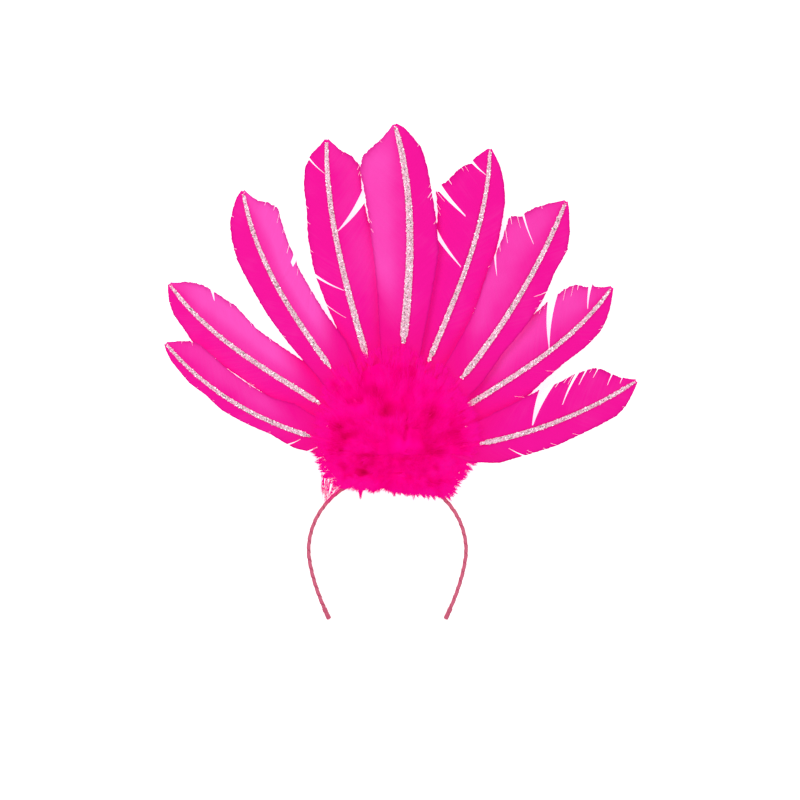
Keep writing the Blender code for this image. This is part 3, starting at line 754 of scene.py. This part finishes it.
def make_flakes(feather, finish):
    """Glitter flakes strewn over the glue: flat six-sided plates, each turned and tilted at random."""
    source = np.random.default_rng(feather["number"] * 101)
    span = shaft_length(feather) * (STRIP_END_SHARE - feather["strip_start"])
    count = int(span * FLAKES_PER_METRE)
    stations = np.sort(source.uniform(feather["strip_start"] - 0.006, STRIP_END_SHARE + 0.009, count))
    place, normal, half, bottom = strip_shape(feather, stations)
    offset = source.uniform(-1, 1, count) * 0.98
    height = bottom + GAP + STRIP_THICKNESS * (0.35 + 0.65 * np.sqrt(np.clip(1 - offset**2, 0, 1)))
    height = height + source.uniform(-0.0001, 0.0003, count)
    centre = raised(place + normal * (half * offset)[:, None], height)
    facing = unit(np.concatenate([source.normal(0, 0.42, (count, 2)), np.ones((count, 1))], axis=1))
    first = unit(np.cross(facing, [0.3, 1.0, 0.2]))
    second = np.cross(facing, first)
    size = FLAKE_RADIUS * source.uniform(0.55, 1.25, count)
    spin = source.uniform(0, math.pi / 3, count)
    turn = (spin[:, None] + np.arange(6) * math.pi / 3)[..., None]
    spoke = first[:, None] * np.cos(turn) + second[:, None] * np.sin(turn)
    rim = centre[:, None] + size[:, None, None] * spoke
    poles = centre[:, None] + facing[:, None] * np.array([[1], [-1]]) * FLAKE_HALF_THICKNESS
    points = np.concatenate([rim, poles], axis=1)
    corner = np.arange(6)
    upper = np.stack([corner, (corner + 1) % 6, np.full(6, 6)], axis=1)
    lower = np.stack([(corner + 1) % 6, corner, np.full(6, 7)], axis=1)
    faces = (np.concatenate([upper, lower])[None] + (np.arange(count) * 8)[:, None, None]).reshape(-1, 3)
    middle_dark = np.exp(-(offset / 0.45) ** 2) * 0.22
    bright = source.uniform(size=count) < 0.74
    tint = np.where(bright, source.uniform(0.45, 1.2, count), source.uniform(0.0, 0.3, count))
    tint = np.repeat(np.clip(tint - middle_dark, 0, 1), 8)
    points = points.reshape(-1, 3)
    piece = add_piece(f"glitter_flakes_{feather['number']}", points, [faces], finish, {"tint": tint})
    piece.data.shade_flat()


# The marabou

# Places along a strand, as shares of its length, and its thickness and shade there
STRAND_SHARES = (0.0, 0.34, 0.68, 1.0)
STRAND_THICKNESS = (0.9, 1.0, 0.7)
STRAND_SHADE = (0.80, 0.93, 1.0, 1.04)


def strand_mesh(root, start, end, length, width, light, sway):
    """Closed three-sided strands, all worked out at once.

    A strand's middle is root + length * (share * start + share^2 / 2 * (end - start)), with a side
    sway that grows towards the tip. Three rings of three points and one tip point make each.
    """
    share = np.array(STRAND_SHARES)
    bend = (share**2 / 2)[None, :, None] * (end - start)[:, None]
    centre = root[:, None] + length[:, None, None] * (share[None, :, None] * start[:, None] + bend)
    centre = centre + sway[:, None] * (np.sin(share * 5.2) * share)[None, :, None]
    tangent = unit(np.gradient(centre, axis=1))
    across = unit(np.cross(tangent, np.array([0.31, 0.22, 0.92])))
    over = np.cross(across, tangent)
    turn = (np.arange(3) * 2 * math.pi / 3)[None, None, :, None]
    thick = (width[:, None] / 2 * np.array(STRAND_THICKNESS)[None])[..., None, None]
    ring = across[:, :3, None] * np.cos(turn) + over[:, :3, None] * np.sin(turn)
    ring = centre[:, :3, None] + thick * ring
    count = len(root)
    points = np.concatenate([ring.reshape(count, 9, 3), centre[:, 3:4]], axis=1)
    corner = np.arange(3)
    after = (corner + 1) % 3
    lower = np.stack([corner, after, after + 3, corner + 3], axis=1)
    squares = np.concatenate([lower, lower + 3])
    tips = np.concatenate([np.stack([corner + 6, after + 6, np.full(3, 9)], axis=1), [[2, 1, 0]]])
    squares, tips = outward(points[0], [squares, tips])
    base = (np.arange(count) * 10)[:, None, None]
    faces = [(squares[None] + base).reshape(-1, 4), (tips[None] + base).reshape(-1, 3)]
    shade = light[:, None] * np.repeat(STRAND_SHADE, (3, 3, 3, 1))[None]
    shade = shade - HOLLOW_DEPTH * hollow_shade(points[..., 0], points[..., 1])
    return points.reshape(-1, 3), faces, shade.reshape(-1)


# Hollows between tufts, in millimetres: where, how long and how wide, which way they run in degrees,
# and how deep in shade
HOLLOWS = records(
    "x y length width runs shade",
    (-0.5, 52.0, 6.2, 4.4, 60, 0.50), (-37.0, 20.0, 5.5, 3.6, 80, 0.38), (-35.0, 8.0, 4.0, 3.4, 0, 0.34),
    (40.5, 19.5, 6.0, 3.6, 10, 0.56), (39.0, 6.5, 3.4, 3.0, 0, 0.62), (-19.4, 3.2, 3.2, 2.8, 0, 0.62),
    (-17.0, 17.0, 8.0, 2.2, 5, 0.50), (40.0, -4.8, 6.0, 4.5, 30, 0.34), (18.0, -1.0, 4.0, 3.4, 20, 0.38),
    (-20.0, 79.0, 8.0, 6.0, 60, 0.42), (-11.0, 70.0, 7.0, 6.0, 80, 0.38), (15.0, 37.0, 9.0, 1.9, 82, 0.62),
    (36.0, 50.0, 8.0, 4.0, 80, 0.40), (30.0, 68.0, 6.0, 4.0, 60, 0.38), (21.0, 83.0, 6.0, 4.0, 80, 0.35),
    (-43.0, 74.0, 7.0, 4.0, 70, 0.42), (-25.0, 60.0, 11.0, 3.6, 5, 0.40), (-38.0, 40.0, 7.0, 3.6, 30, 0.35),
    (-30.0, 33.0, 7.0, 2.8, 20, 0.38), (46.0, 33.0, 6.0, 4.0, 30, 0.30), (62.0, 25.0, 6.0, 3.0, 0, 0.35),
)


def hollow_shade(x, y):
    """How shaded a place in the down is: the strongest of the soft oval hollows over it."""
    shade = np.zeros_like(x)
    for hollow in HOLLOWS:
        turn = math.radians(hollow["runs"])
        across, up = x * 1000 - hollow["x"], y * 1000 - hollow["y"]
        along = (across * math.cos(turn) + up * math.sin(turn)) / hollow["length"]
        aside = (up * math.cos(turn) - across * math.sin(turn)) / hollow["width"]
        shade = np.maximum(shade, hollow["shade"] * np.exp(-(along**2 + aside**2)))
    return shade


# The edge of the whole field of down, in millimetres, once round from its right side
FIELD_X = 0.008
FIELD_Y = 0.012
FIELD_EDGE = (
    (74.6, 23.2), (70.6, 36.8), (67.0, 51.2), (56.6, 68.0), (50.2, 82.4), (32.6, 92.0), (15.0, 100.8),
    (-9.0, 100.8), (-24.2, 92.0), (-36.2, 86.4), (-47.4, 76.0), (-52.2, 56.0), (-54.6, 40.8),
    (-55.4, 28.8), (-57.0, 22.4), (-59.4, 16.0), (-57.0, 12.8), (-53.8, 8.0), (-52.2, 1.6),
    (-48.2, -3.2), (-43.4, -7.2), (-36.2, -8.8), (-29.8, -8.8), (-25.0, -11.2), (-20.6, -12.4),
    (-16.2, -10.8), (-11.8, -12.4), (-7.4, -9.6), (-2.2, -8.4), (2.2, -12.0), (5.8, -13.6),
    (9.4, -12.4), (15.8, -13.4), (22.2, -14.4), (30.2, -15.2), (37.4, -16.4), (45.4, -16.4),
    (51.4, -17.0), (54.6, -12.8), (57.8, -7.0), (61.4, -2.0), (64.0, 1.8), (68.0, 6.0), (72.4, 10.8),
)


def field_radius(angle):
    """Distance from the field's middle to its edge, at an angle between -pi and pi."""
    edge = np.array(FIELD_EDGE) / 1000 - (FIELD_X, FIELD_Y)
    known = np.arctan2(edge[:, 1], edge[:, 0])
    order = np.argsort(known)
    return np.interp(angle, known[order], np.hypot(*edge[order].T), period=2 * math.pi)


def down_height(x, y):
    """Height of the backing of the down over a point: the fan's dome and skirt, or one of the rolls."""
    radius = np.hypot(x - HUB_X, y - HUB_Y)
    dome = np.sqrt(np.clip(1 - (radius / FAN_DOME_RADIUS) ** 2, 0, 1)) * FAN_DOME_HEIGHT + QUILL_TOP
    skirt = layer_height(x, y, "front") + STRIP_RISE + GAP
    upper_y = ROLL_SPLIT_Y + UPPER_ROLL_BREADTH / 2
    lower_y = ROLL_SPLIT_Y - LOWER_ROLL_BREADTH / 2
    upper = roll_height(x, y, upper_y, UPPER_ROLL_BREADTH, UPPER_ROLL_SPAN)
    lower = roll_height(x, y, lower_y, LOWER_ROLL_BREADTH, LOWER_ROLL_SPAN)
    return np.where(y > HUB_Y, np.maximum(dome, skirt), np.where(y > ROLL_SPLIT_Y, upper, lower))


def roll_height(x, y, centre_y, breadth, span):
    """Height of a roll's backing: half an ellipsoid on the felt."""
    inside = 1 - ((y - centre_y) / (breadth / 2)) ** 2 - ((x - ROLL_CENTRE_X) / (span / 2)) ** 2
    return BASE_TOP + ROLL_HEIGHT * np.sqrt(np.clip(inside, 0, 1))


# Groups of tufts. Each grows where its two ranges say: angles in degrees about the field's middle
# with shares of the edge's distance, or x and y in millimetres. Scatter is in radians about the
# direction away from the hub or the field's middle, rise in radians, length in millimetres, and
# past is how far beyond the edge a tuft may reach, as a share of the way to it. Strands leave the
# stalk by up to spread, and gather is the share of that turn which is left at their tips
TUFTS = records(
    "piece place first second tufts strands scatter rise length past spread gather tone",
    ("fan", "round", (12, 168), (0.74, 1), 150, 13, 0.2, (0.01, 0.1), (9, 28), 1.9, 0.34, 0.3, 1.42),
    ("fan", "round", (10, 170), (0.66, 0.92), 150, 15, 0.16, (0.02, 0.14), (9, 24), 1.5, 0.4, 0.2, 1.26),
    ("fan", "round", (2, 178), (0.5, 0.78), 130, 22, 0.22, (0.05, 0.28), (12, 20), 1.04, 0.55, 0.2, 1.08),
    ("fan", "round", (6, 174), (0.22, 0.62), 110, 24, 0.4, (0.1, 0.5), (13, 20), 1, 0.65, 0.2, 0.9),
    ("fan", "box", (-36, 52), (20, 50), 70, 24, 0.6, (0.2, 0.75), (10, 16), 1, 0.75, 0.3, 0.79),
    ("upper", "box", (-40, 54), (4.5, 17), 170, 24, 0.7, (0.2, 0.9), (8, 13), 1, 0.75, 0.3, 0.92),
    ("upper", "round", (166, 194), (0.6, 0.92), 80, 16, 0.25, (-0.1, 0.3), (7, 15), 1.05, 0.45, 0.1, 1.04),
    ("upper", "round", (-16, 8), (0.55, 0.92), 80, 16, 0.25, (-0.1, 0.3), (7, 15), 1.05, 0.45, 0.1, 1.04),
    ("lower", "box", (-42, 54), (-9, 2.4), 150, 24, 0.7, (0.1, 0.8), (7, 11), 1, 0.75, 0.3, 1.03),
    ("lower", "round", (-166, -14), (0.55, 0.84), 170, 18, 0.25, (-0.3, 0.2), (6, 14), 1.1, 0.42, 0, 1.1),
    ("lower", "round", (-180, -6), (0.76, 0.95), 300, 8, 0.3, (-0.25, 0.15), (5, 12), 1.2, 0.32, -0.9, 1.06),
)


def tuft_roots(group, source):
    """Places of a group's tufts in plan, and the direction away from the middle at each."""
    count = group["tufts"]
    if group["place"] == "round":
        angle = np.radians(source.uniform(*group["first"], count))
        share = np.sqrt(source.uniform(group["second"][0] ** 2, group["second"][1] ** 2, count))
        radius = field_radius((angle + math.pi) % (2 * math.pi) - math.pi) * share
        x, y = FIELD_X + radius * np.cos(angle), FIELD_Y + radius * np.sin(angle)
    else:
        x = source.uniform(*group["first"], count) / 1000
        y = source.uniform(*group["second"], count) / 1000
    middle = (HUB_X, HUB_Y) if group["piece"] == "fan" else (FIELD_X, FIELD_Y)
    heading = np.arctan2(y - middle[1], x - middle[0]) + source.normal(0, group["scatter"], count)
    return x, y, heading


def direction(turn, climb):
    """Directions of length one from a turn in plan and a climb out of it."""
    return np.stack([np.cos(turn) * np.cos(climb), np.sin(turn) * np.cos(climb), np.sin(climb)], axis=1)


def grow_tufts(group, seed):
    """Strands gathered into tufts.

    Each tuft has a root, a direction and a shade of its own. Its strands start along a short stalk
    and leave it to both sides, turning back towards the stalk's direction. None reaches farther
    than the tuft's length, which ends near the edge of the field.
    """
    source = np.random.default_rng(seed)
    count, strands = group["tufts"], group["strands"]
    x, y, heading = tuft_roots(group, source)
    rise = source.uniform(*group["rise"], count)
    size = source.uniform(*group["length"], count) / 1000
    turn = np.arctan2(y - FIELD_Y, x - FIELD_X)
    left = field_radius(turn) - np.hypot(x - FIELD_X, y - FIELD_Y)
    size = np.minimum(size, np.maximum(left, 0.002) * group["past"] * source.uniform(0.85, 1.0, count))
    tone = group["tone"] + source.uniform(-0.12, 0.12, count)
    root = np.stack([x, y, down_height(x, y) - ROOT_DEPTH - HOLLOW_SINK * hollow_shade(x, y)], axis=1)
    tufts = (root, heading, rise, size, tone)
    root, heading, rise, size, tone = (np.repeat(thing, strands, axis=0) for thing in tufts)
    total = count * strands
    stalk = source.uniform(0, 0.45, total)
    opened = np.where(source.uniform(size=total) < 0.5, -1, 1) * source.uniform(0.10, group["spread"], total)
    lifted = source.normal(0, 0.18, total)
    root = root + direction(heading, rise) * (stalk * size)[:, None]
    root = root + source.normal(0, ROOT_SCATTER, (total, 3))
    start = direction(heading + opened, rise + lifted + 0.15)
    end = direction(heading + opened * group["gather"], rise * 0.4 + lifted * 0.5)
    own = size * (1 - stalk) * source.uniform(0.65, 1.0, total)
    sway = source.normal(0, 0.0008, (total, 3))
    tone = tone + source.normal(0, 0.035, total)
    width = STRAND_WIDTH * source.uniform(0.75, 1.2, total)
    return root, start, end, own, width, tone, sway


def add_down(name, groups, finish):
    """Put many groups of strands in as one piece, held above the table."""
    points, faces, light = zip(*[strand_mesh(*group) for group in groups])
    starts = np.cumsum([0, *map(len, points)])
    squares = np.concatenate([block[0] + start for block, start in zip(faces, starts)])
    triangles = np.concatenate([block[1] + start for block, start in zip(faces, starts)])
    points = np.concatenate(points)
    points[:, 2] = np.maximum(points[:, 2], LOWEST_STRAND)
    return add_piece(name, points, [squares, triangles], finish, {"light": np.concatenate(light)})


def make_marabou(finish):
    """The fan of down and the two rolls below it, tuft over tuft."""
    nodes = {"fan": "marabou_fan", "upper": "marabou_roll_upper", "lower": "marabou_roll_lower"}
    for part, node in nodes.items():
        own = [(group, 11 + index) for index, group in enumerate(TUFTS) if group["piece"] == part]
        grown = [grow_tufts(group, seed) for group, seed in own]
        piece = add_down(f"marabou_down_{part}", grown, finish)
        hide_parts(node)


# Long loose wisps and plume shafts, in millimetres and degrees: where each starts, which way it
# runs, its length, its thickness and its shade
WISPS = records(
    "x y runs length thickness rise tone strands",
    (-52.4, 2.0, -87, 26, 0.36, -4, 0.66, 4),
    (-51.0, 0.0, -94, 15, 0.34, -4, 0.86, 12),
    (-48.4, -2.4, -98, 13, 0.34, -4, 0.90, 12),
    (-49.5, -3.0, -93, 20, 0.34, -4, 0.74, 6),
    (-45.5, -4.6, -104, 19, 0.32, -4, 0.80, 8),
    (-41.0, -5.6, -118, 19, 0.32, -4, 0.84, 9),
    (-36.0, -6.4, -132, 21, 0.32, -4, 0.88, 9),
    (-46.5, -4.0, -96, 13, 0.32, -4, 0.90, 9),
    (-42.5, -5.0, -108, 12, 0.32, -4, 0.92, 9),
    (-38.5, -6.0, -120, 11, 0.32, -4, 0.94, 9),
    (-12.2, 46.4, -62, 25, 0.50, 2, 0.60, 1),
    (-16.5, 40.0, -66, 18, 0.34, 2, 0.70, 1),
    (16.5, 51.0, -98, 27, 0.45, 2, 0.42, 2),
    (6.0, 47.0, -84, 17, 0.34, 2, 0.66, 1),
    (33.0, 18.0, 10, 16, 0.34, 2, 0.62, 1),
    (-14.0, 16.0, 6, 24, 0.40, 2, 0.52, 2),
    (-20.0, 2.6, 2, 30, 0.34, 2, 0.66, 1),
    (21.5, 60.0, 96, 16, 0.34, 2, 0.62, 1),
    (-8.0, 68.0, 101, 18, 0.34, 2, 0.62, 1),
    (-30.0, 58.0, 128, 17, 0.34, 2, 0.62, 1),
)

# Spikes at the field's edge, in millimetres and degrees: where each one's tip is, which way it
# runs, its length and the width it starts from
SPIKE_COLUMNS = "x y runs length base strands"
SPIKES = records(
    SPIKE_COLUMNS,
    (-21.2, -19.0, -88, 12, 4.8, 22), (-24.6, -13.0, -100, 8, 2.4, 8), (-17.4, -12.6, -80, 6, 1.8, 6),
    (-10.8, -15.0, -96, 9, 3.4, 12), (0.4, -12.6, -100, 6, 2.4, 8),
    (5.6, -17.0, -88, 9, 3.4, 14), (9.6, -15.0, -76, 7, 2.0, 8), (15.8, -16.8, -90, 7, 3.0, 10),
    (21.4, -20.2, -88, 10, 1.4, 5), (24.6, -17.4, -70, 7, 2.0, 7), (29.6, -18.4, -84, 8, 2.6, 8),
    (33.4, -20.0, -80, 9, 3.0, 12), (38.2, -20.4, -72, 9, 3.0, 12), (42.0, -18.2, -66, 8, 2.4, 8),
    (46.0, -19.6, -70, 9, 2.8, 10), (51.2, -20.2, -58, 11, 3.2, 14), (53.8, -14.8, -42, 9, 2.6, 10),
    (55.2, -11.4, -50, 8, 2.4, 8), (58.0, -9.0, -36, 9, 2.6, 10), (60.2, -4.6, -40, 8, 2.4, 8),
    (62.0, -2.0, -28, 9, 2.6, 10), (64.2, 2.4, -30, 8, 2.6, 10), (68.4, 5.4, -22, 9, 2.8, 10),
    (72.6, 10.6, -12, 10, 2.8, 10), (74.0, 15.0, -16, 9, 2.4, 8),
    (-59.8, 15.6, -168, 9, 2.6, 9), (-57.6, 22.0, 176, 9, 2.6, 9), (-58.0, 11.6, -160, 8, 2.4, 8),
    (-54.6, 7.4, -152, 8, 2.4, 8), (-53.6, 3.0, -148, 8, 2.4, 8), (-50.6, -1.0, -136, 8, 2.4, 8),
)


def spike_strands(spike, seed):
    """Strands that start side by side across a spike's base and meet at its tip."""
    source = np.random.default_rng(seed)
    count = spike["strands"] * 2
    length = spike["length"] / 1000
    runs = math.radians(spike["runs"])
    aside = np.linspace(-0.5, 0.5, count) * spike["base"] / 1000
    tip = np.array([spike["x"], spike["y"]]) / 1000
    foot = tip - length * np.array([math.cos(runs), math.sin(runs)])
    foot = foot + aside[:, None] * np.array([-math.sin(runs), math.cos(runs)])
    turn = runs - np.arctan2(aside, length) + source.normal(0, 0.05, count)
    bend = source.normal(0, 0.10, count)
    climb = source.uniform(-0.25, 0.05, count)
    root = raised(foot, np.maximum(down_height(foot[:, 0], foot[:, 1]) - 0.003, BASE_TOP))
    own = np.hypot(aside, length) * source.uniform(0.82, 1.10, count)
    tone = 0.95 + source.normal(0, 0.06, count)
    width = STRAND_WIDTH * source.uniform(1.0, 1.7, count)
    sway = source.normal(0, 0.0003, (count, 3))
    return root, direction(turn + bend, climb), direction(turn - bend, climb - 0.1), own, width, tone, sway


def small_spikes():
    """Short spikes strewn along the field's lower edge, each pointing away from its middle."""
    source = np.random.default_rng(53)
    angle = np.sort(source.uniform(*SMALL_SPIKE_ANGLES, SMALL_SPIKE_COUNT))
    count = len(angle)
    reach = field_radius(np.radians((angle + 180) % 360 - 180)) * 1000 + source.uniform(0.2, 3.6, count)
    x = FIELD_X * 1000 + reach * np.cos(np.radians(angle))
    y = FIELD_Y * 1000 + reach * np.sin(np.radians(angle))
    runs = angle + source.normal(0, 13, count)
    length = source.uniform(5, 8, count)
    base = source.uniform(0.8, 2.0, count)
    strands = source.integers(2, 5, count)
    return list(zip(x, y, runs, length, base, strands))


def make_spikes(finish):
    """The fringe's separate spikes, besides the short tufts between them."""
    spikes = SPIKES + records(SPIKE_COLUMNS, *small_spikes())
    groups = [spike_strands(spike, 200 + index) for index, spike in enumerate(spikes)]
    add_down("marabou_spikes", groups, finish)


def wisp_strands(wisp, seed):
    """Loose strands that start near one place and run almost the same way."""
    source = np.random.default_rng(seed)
    count = wisp["strands"]
    x = wisp["x"] / 1000 + source.normal(0, ROOT_SCATTER, count)
    y = wisp["y"] / 1000 + source.normal(0, ROOT_SCATTER, count)
    turn = np.radians(wisp["runs"]) + source.normal(0, 0.06, count)
    climb = np.full(count, math.radians(wisp["rise"]))
    bend = source.normal(0, 0.12, count)
    root = np.stack([x, y, down_height(x, y) + 0.0050], axis=1)
    length = np.full(count, wisp["length"] / 1000)
    width = np.full(count, wisp["thickness"] / 1000)
    tone = np.full(count, wisp["tone"])
    sway = source.normal(0, 0.0004, (count, 3))
    return root, direction(turn + bend, climb), direction(turn - bend, climb - 0.2), length, width, tone, sway


def make_wisps(finish):
    """Loose strands that hang from the left side, and the plume shafts that show in the down."""
    groups = [wisp_strands(wisp, 70 + index) for index, wisp in enumerate(WISPS)]
    add_down("marabou_wisps", groups, finish)


def make_down_bed(finish):
    """The matted bed that the tufts grow from: a surface over (angle, share of the field's radius)."""
    angle = np.linspace(-math.pi, math.pi, 181)[:-1]
    share = np.linspace(0.03, 0.88, 40)
    radius = field_radius(angle)[None, :] * share[:, None]
    x = FIELD_X + radius * np.cos(angle)
    y = FIELD_Y + radius * np.sin(angle)
    shade = hollow_shade(x, y)
    lumps = 0.0006 * np.sin(x * 900 + 2.0 * np.sin(y * 500)) * np.sin(y * 800 + 1.3 * np.sin(x * 600))
    edge = smooth_step(share, 0.78, 0.88)[:, None]
    top = down_height(x, y) - 0.0008 + lumps - HOLLOW_SINK * shade
    bottom = np.minimum(top - 0.0006, layer_height(x, y, "front") + STRIP_RISE - 0.002)
    bottom = np.where(y > HUB_Y, bottom, BASE_TOP + 0.0002)
    top = np.maximum(top * (1 - edge) + (bottom + 0.0005) * edge, bottom + 0.0004)
    upper = np.stack([x, y, top], axis=-1)
    under = np.stack([x, y, bottom], axis=-1)[::-1]
    points, faces = skin(np.concatenate([upper, under]))
    # Painted shade: the bed is darker than the strands, and darker again under the hollows, for the shade
    # deep in the down.
    light = np.concatenate([(0.72 - 0.6 * shade).ravel(), np.full(shade.size, 0.5), [0.7, 0.5]])
    piece = add_piece("marabou_bed", points, faces, finish, {"light": light})


# The band

def band_curve():
    """Middle of the strip from its left end to its right end: half an ellipse and two curled limbs."""
    half_span = BAND_SPAN / 2 - BAND_THICKNESS / 2
    turn = np.linspace(0, math.pi / 2, 120)
    arch = np.stack([half_span * np.sin(turn), BAND_ARCH * (np.cos(turn) - 1)], axis=1)
    fall = np.linspace(0, 1, 80)[1:]
    limb_x = half_span - (half_span - BAND_MOUTH / 2) * fall**LIMB_CURL
    limb = np.stack([limb_x, -BAND_ARCH - BAND_LIMB * fall], axis=1)
    right = np.concatenate([arch, limb])
    points = np.concatenate([right[:0:-1] * (-1, 1), right])
    steps = np.linalg.norm(np.diff(points, axis=0), axis=1)
    return points, np.concatenate([[0], np.cumsum(steps)])


def band_sweep(at, half_thick, depth):
    """An eased flat section along the band: places, directions, turns round it, distances, heights."""
    points, run = band_curve()

    def middle(where):
        return np.stack([np.interp(where, run, points[:, axis]) for axis in (0, 1)], axis=1)

    along = unit(middle(at + 0.0006) - middle(at - 0.0006))
    turn = np.linspace(0, 2 * math.pi, 28, endpoint=False)
    flat = np.sign(np.cos(turn)) * np.abs(np.cos(turn)) ** 0.6
    tall = np.sign(np.sin(turn)) * np.abs(np.sin(turn)) ** 0.32
    return middle(at), left_of(along), turn, flat * half_thick, (tall + 1) / 2 * depth


def edge_shade(turn):
    """How near a corner of the section is to the strip's outer or inner face, from 0 to 1: the share of
    painted shade there.
    """
    return smooth_step(np.abs(np.cos(turn)), 0.20, 0.85)


def make_band(finish):
    """The wound strip: each turn of ribbon laps the last, so the section swells along each turn."""
    length = band_curve()[1][-1]
    start = TIP_LENGTH * 0.7
    rows = int((length - 2 * start) / WRAP_PITCH * 12)
    at = np.linspace(start, length - start, rows)
    centre, across, turn, flat, tall = band_sweep(at, BAND_THICKNESS / 2 - 0.00012, BAND_DEPTH - 0.0003)
    phase = at[:, None] / WRAP_PITCH + turn / (2 * math.pi)
    lap = LAP_RISE * ((1 - phase % 1) - 0.5) * 2
    flat = flat + np.cos(turn) * lap
    tall = 0.00015 + tall + np.maximum(np.sin(turn), 0) * lap
    points, faces = tube(centre, across, flat, tall)
    run = np.broadcast_to(at[:, None] / WEAVE_PITCH, phase.shape)
    wrap = np.concatenate([np.stack([phase, run], axis=-1).reshape(-1, 2), np.zeros((2, 2))])
    # Painted shade towards the strip's edges, carried in the edge values.
    edge = np.concatenate([np.tile(edge_shade(turn), len(at)), [0, 0]])
    piece = add_piece("wound_band", points, faces, finish, {"edge": edge}, {"wrap": wrap})
    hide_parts("headband")


def make_tips(finish):
    """The ribbon's folded ends: a fuller section, pinched where the fold begins and rounded at the end."""
    length = band_curve()[1][-1]
    ends = (("band_tip_left", 0.0, TIP_LENGTH), ("band_tip_right", length, length - TIP_LENGTH))
    for name, start, end in ends:
        share = np.linspace(0, 1, 30)
        pinch = 1 - 0.10 * np.exp(-((share - 0.62) / 0.04) ** 2)
        round_end = np.sqrt(np.clip(share / 0.09, 0.08, 1))
        swell = ((1 + 0.03 * np.sin(share * 9)) * round_end * pinch)[:, None]
        at = start + (end - start) * share
        centre, across, turn, flat, tall = band_sweep(at, TIP_THICKNESS / 2, TIP_DEPTH)
        tall = TIP_DEPTH / 2 + (tall - TIP_DEPTH / 2) * np.minimum(swell, 1)
        points, faces = tube(centre, across, flat * swell, tall)
        run = np.broadcast_to(share[:, None] * 0.8 + 0.15, tall.shape)
        wrap = np.stack([run, np.broadcast_to(turn * 2, tall.shape)], axis=-1).reshape(-1, 2)
        wrap = np.concatenate([wrap, [[0.2, 0], [0.9, 0]]])
        # Painted shade towards the folded end's edges, and a little over its middle too.
        edge = np.concatenate([np.tile(0.35 + 0.65 * edge_shade(turn), len(at)), [0.5, 0.5]])
        own_name = name.replace("band_tip", "folded_end")
        piece = add_piece(own_name, points, faces, finish, {"edge": edge}, {"wrap": wrap})
        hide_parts(name)


# Table, lights and camera

# Name, place, size and power of each light
LIGHTS = (("key", (-0.9, 0.9, 1.5), 0.9, 13), ("fill", (1.1, -0.4, 1.4), 1.2, 6))
LIT_POINT = (0, 0.05, 0)
TABLE_HALF = 3
TABLE_TOP = -0.0004


def make_table():
    """A bright white table top under everything."""
    mesh = bpy.data.meshes.new("table")
    turns = ((-1, -1), (1, -1), (1, 1), (-1, 1))
    mesh.from_pydata([(TABLE_HALF * x, TABLE_HALF * y, TABLE_TOP) for x, y in turns], [], [(0, 1, 2, 3)])
    mesh.materials.append(table_material())
    table = bpy.data.objects.new("table", mesh)
    bpy.context.scene.collection.objects.link(table)


def make_lights():
    """Two large soft lights, and a pale world all round."""
    for name, place, size, power in LIGHTS:
        data = bpy.data.lights.new(name, "AREA")
        data.size = size
        data.energy = power
        light = bpy.data.objects.new(name, data)
        light.location = place
        light.rotation_euler = (Vector(LIT_POINT) - Vector(place)).to_track_quat("-Z", "Y").to_euler()
        bpy.context.scene.collection.objects.link(light)
    world = bpy.data.worlds.new("soft_room")
    world.use_nodes = True
    background = world.node_tree.nodes["Background"]
    background.inputs["Color"].default_value = (1, 1, 1, 1)
    background.inputs["Strength"].default_value = 0.62
    bpy.context.scene.world = world


def make_camera():
    """The photograph's view, straight down on the front face."""
    lens = bpy.data.cameras.new("front_camera")
    lens.lens = SENSOR_WIDTH * CAMERA_DISTANCE / FRAME_WIDTH
    lens.sensor_width = SENSOR_WIDTH
    lens.clip_end = 20
    camera = bpy.data.objects.new("front_camera", lens)
    camera.location = (FRAME_X, FRAME_Y, CAMERA_DISTANCE + QUILL_AXIS)
    bpy.context.scene.collection.objects.link(camera)
    bpy.context.scene.camera = camera
    bpy.context.scene.view_settings.view_transform = "Standard"


def main():
    """Dress the frame and set up the picture."""
    web, quill, glue, flake = vane_material(), quill_material(), glue_material(), flake_material()
    for feather in FEATHERS:
        make_vane(feather, web)
        make_shaft(feather, quill)
        make_glue_line(feather, glue)
        make_flakes(feather, flake)
    down = down_material()
    make_marabou(down)
    make_wisps(down)
    make_spikes(down)
    make_down_bed(down)
    satin = satin_material()
    make_band(satin)
    make_tips(satin)
    felt = felt_material()
    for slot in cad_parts["felt_base"].material_slots:
        slot.material = felt
    make_table()
    make_lights()
    make_camera()


main()
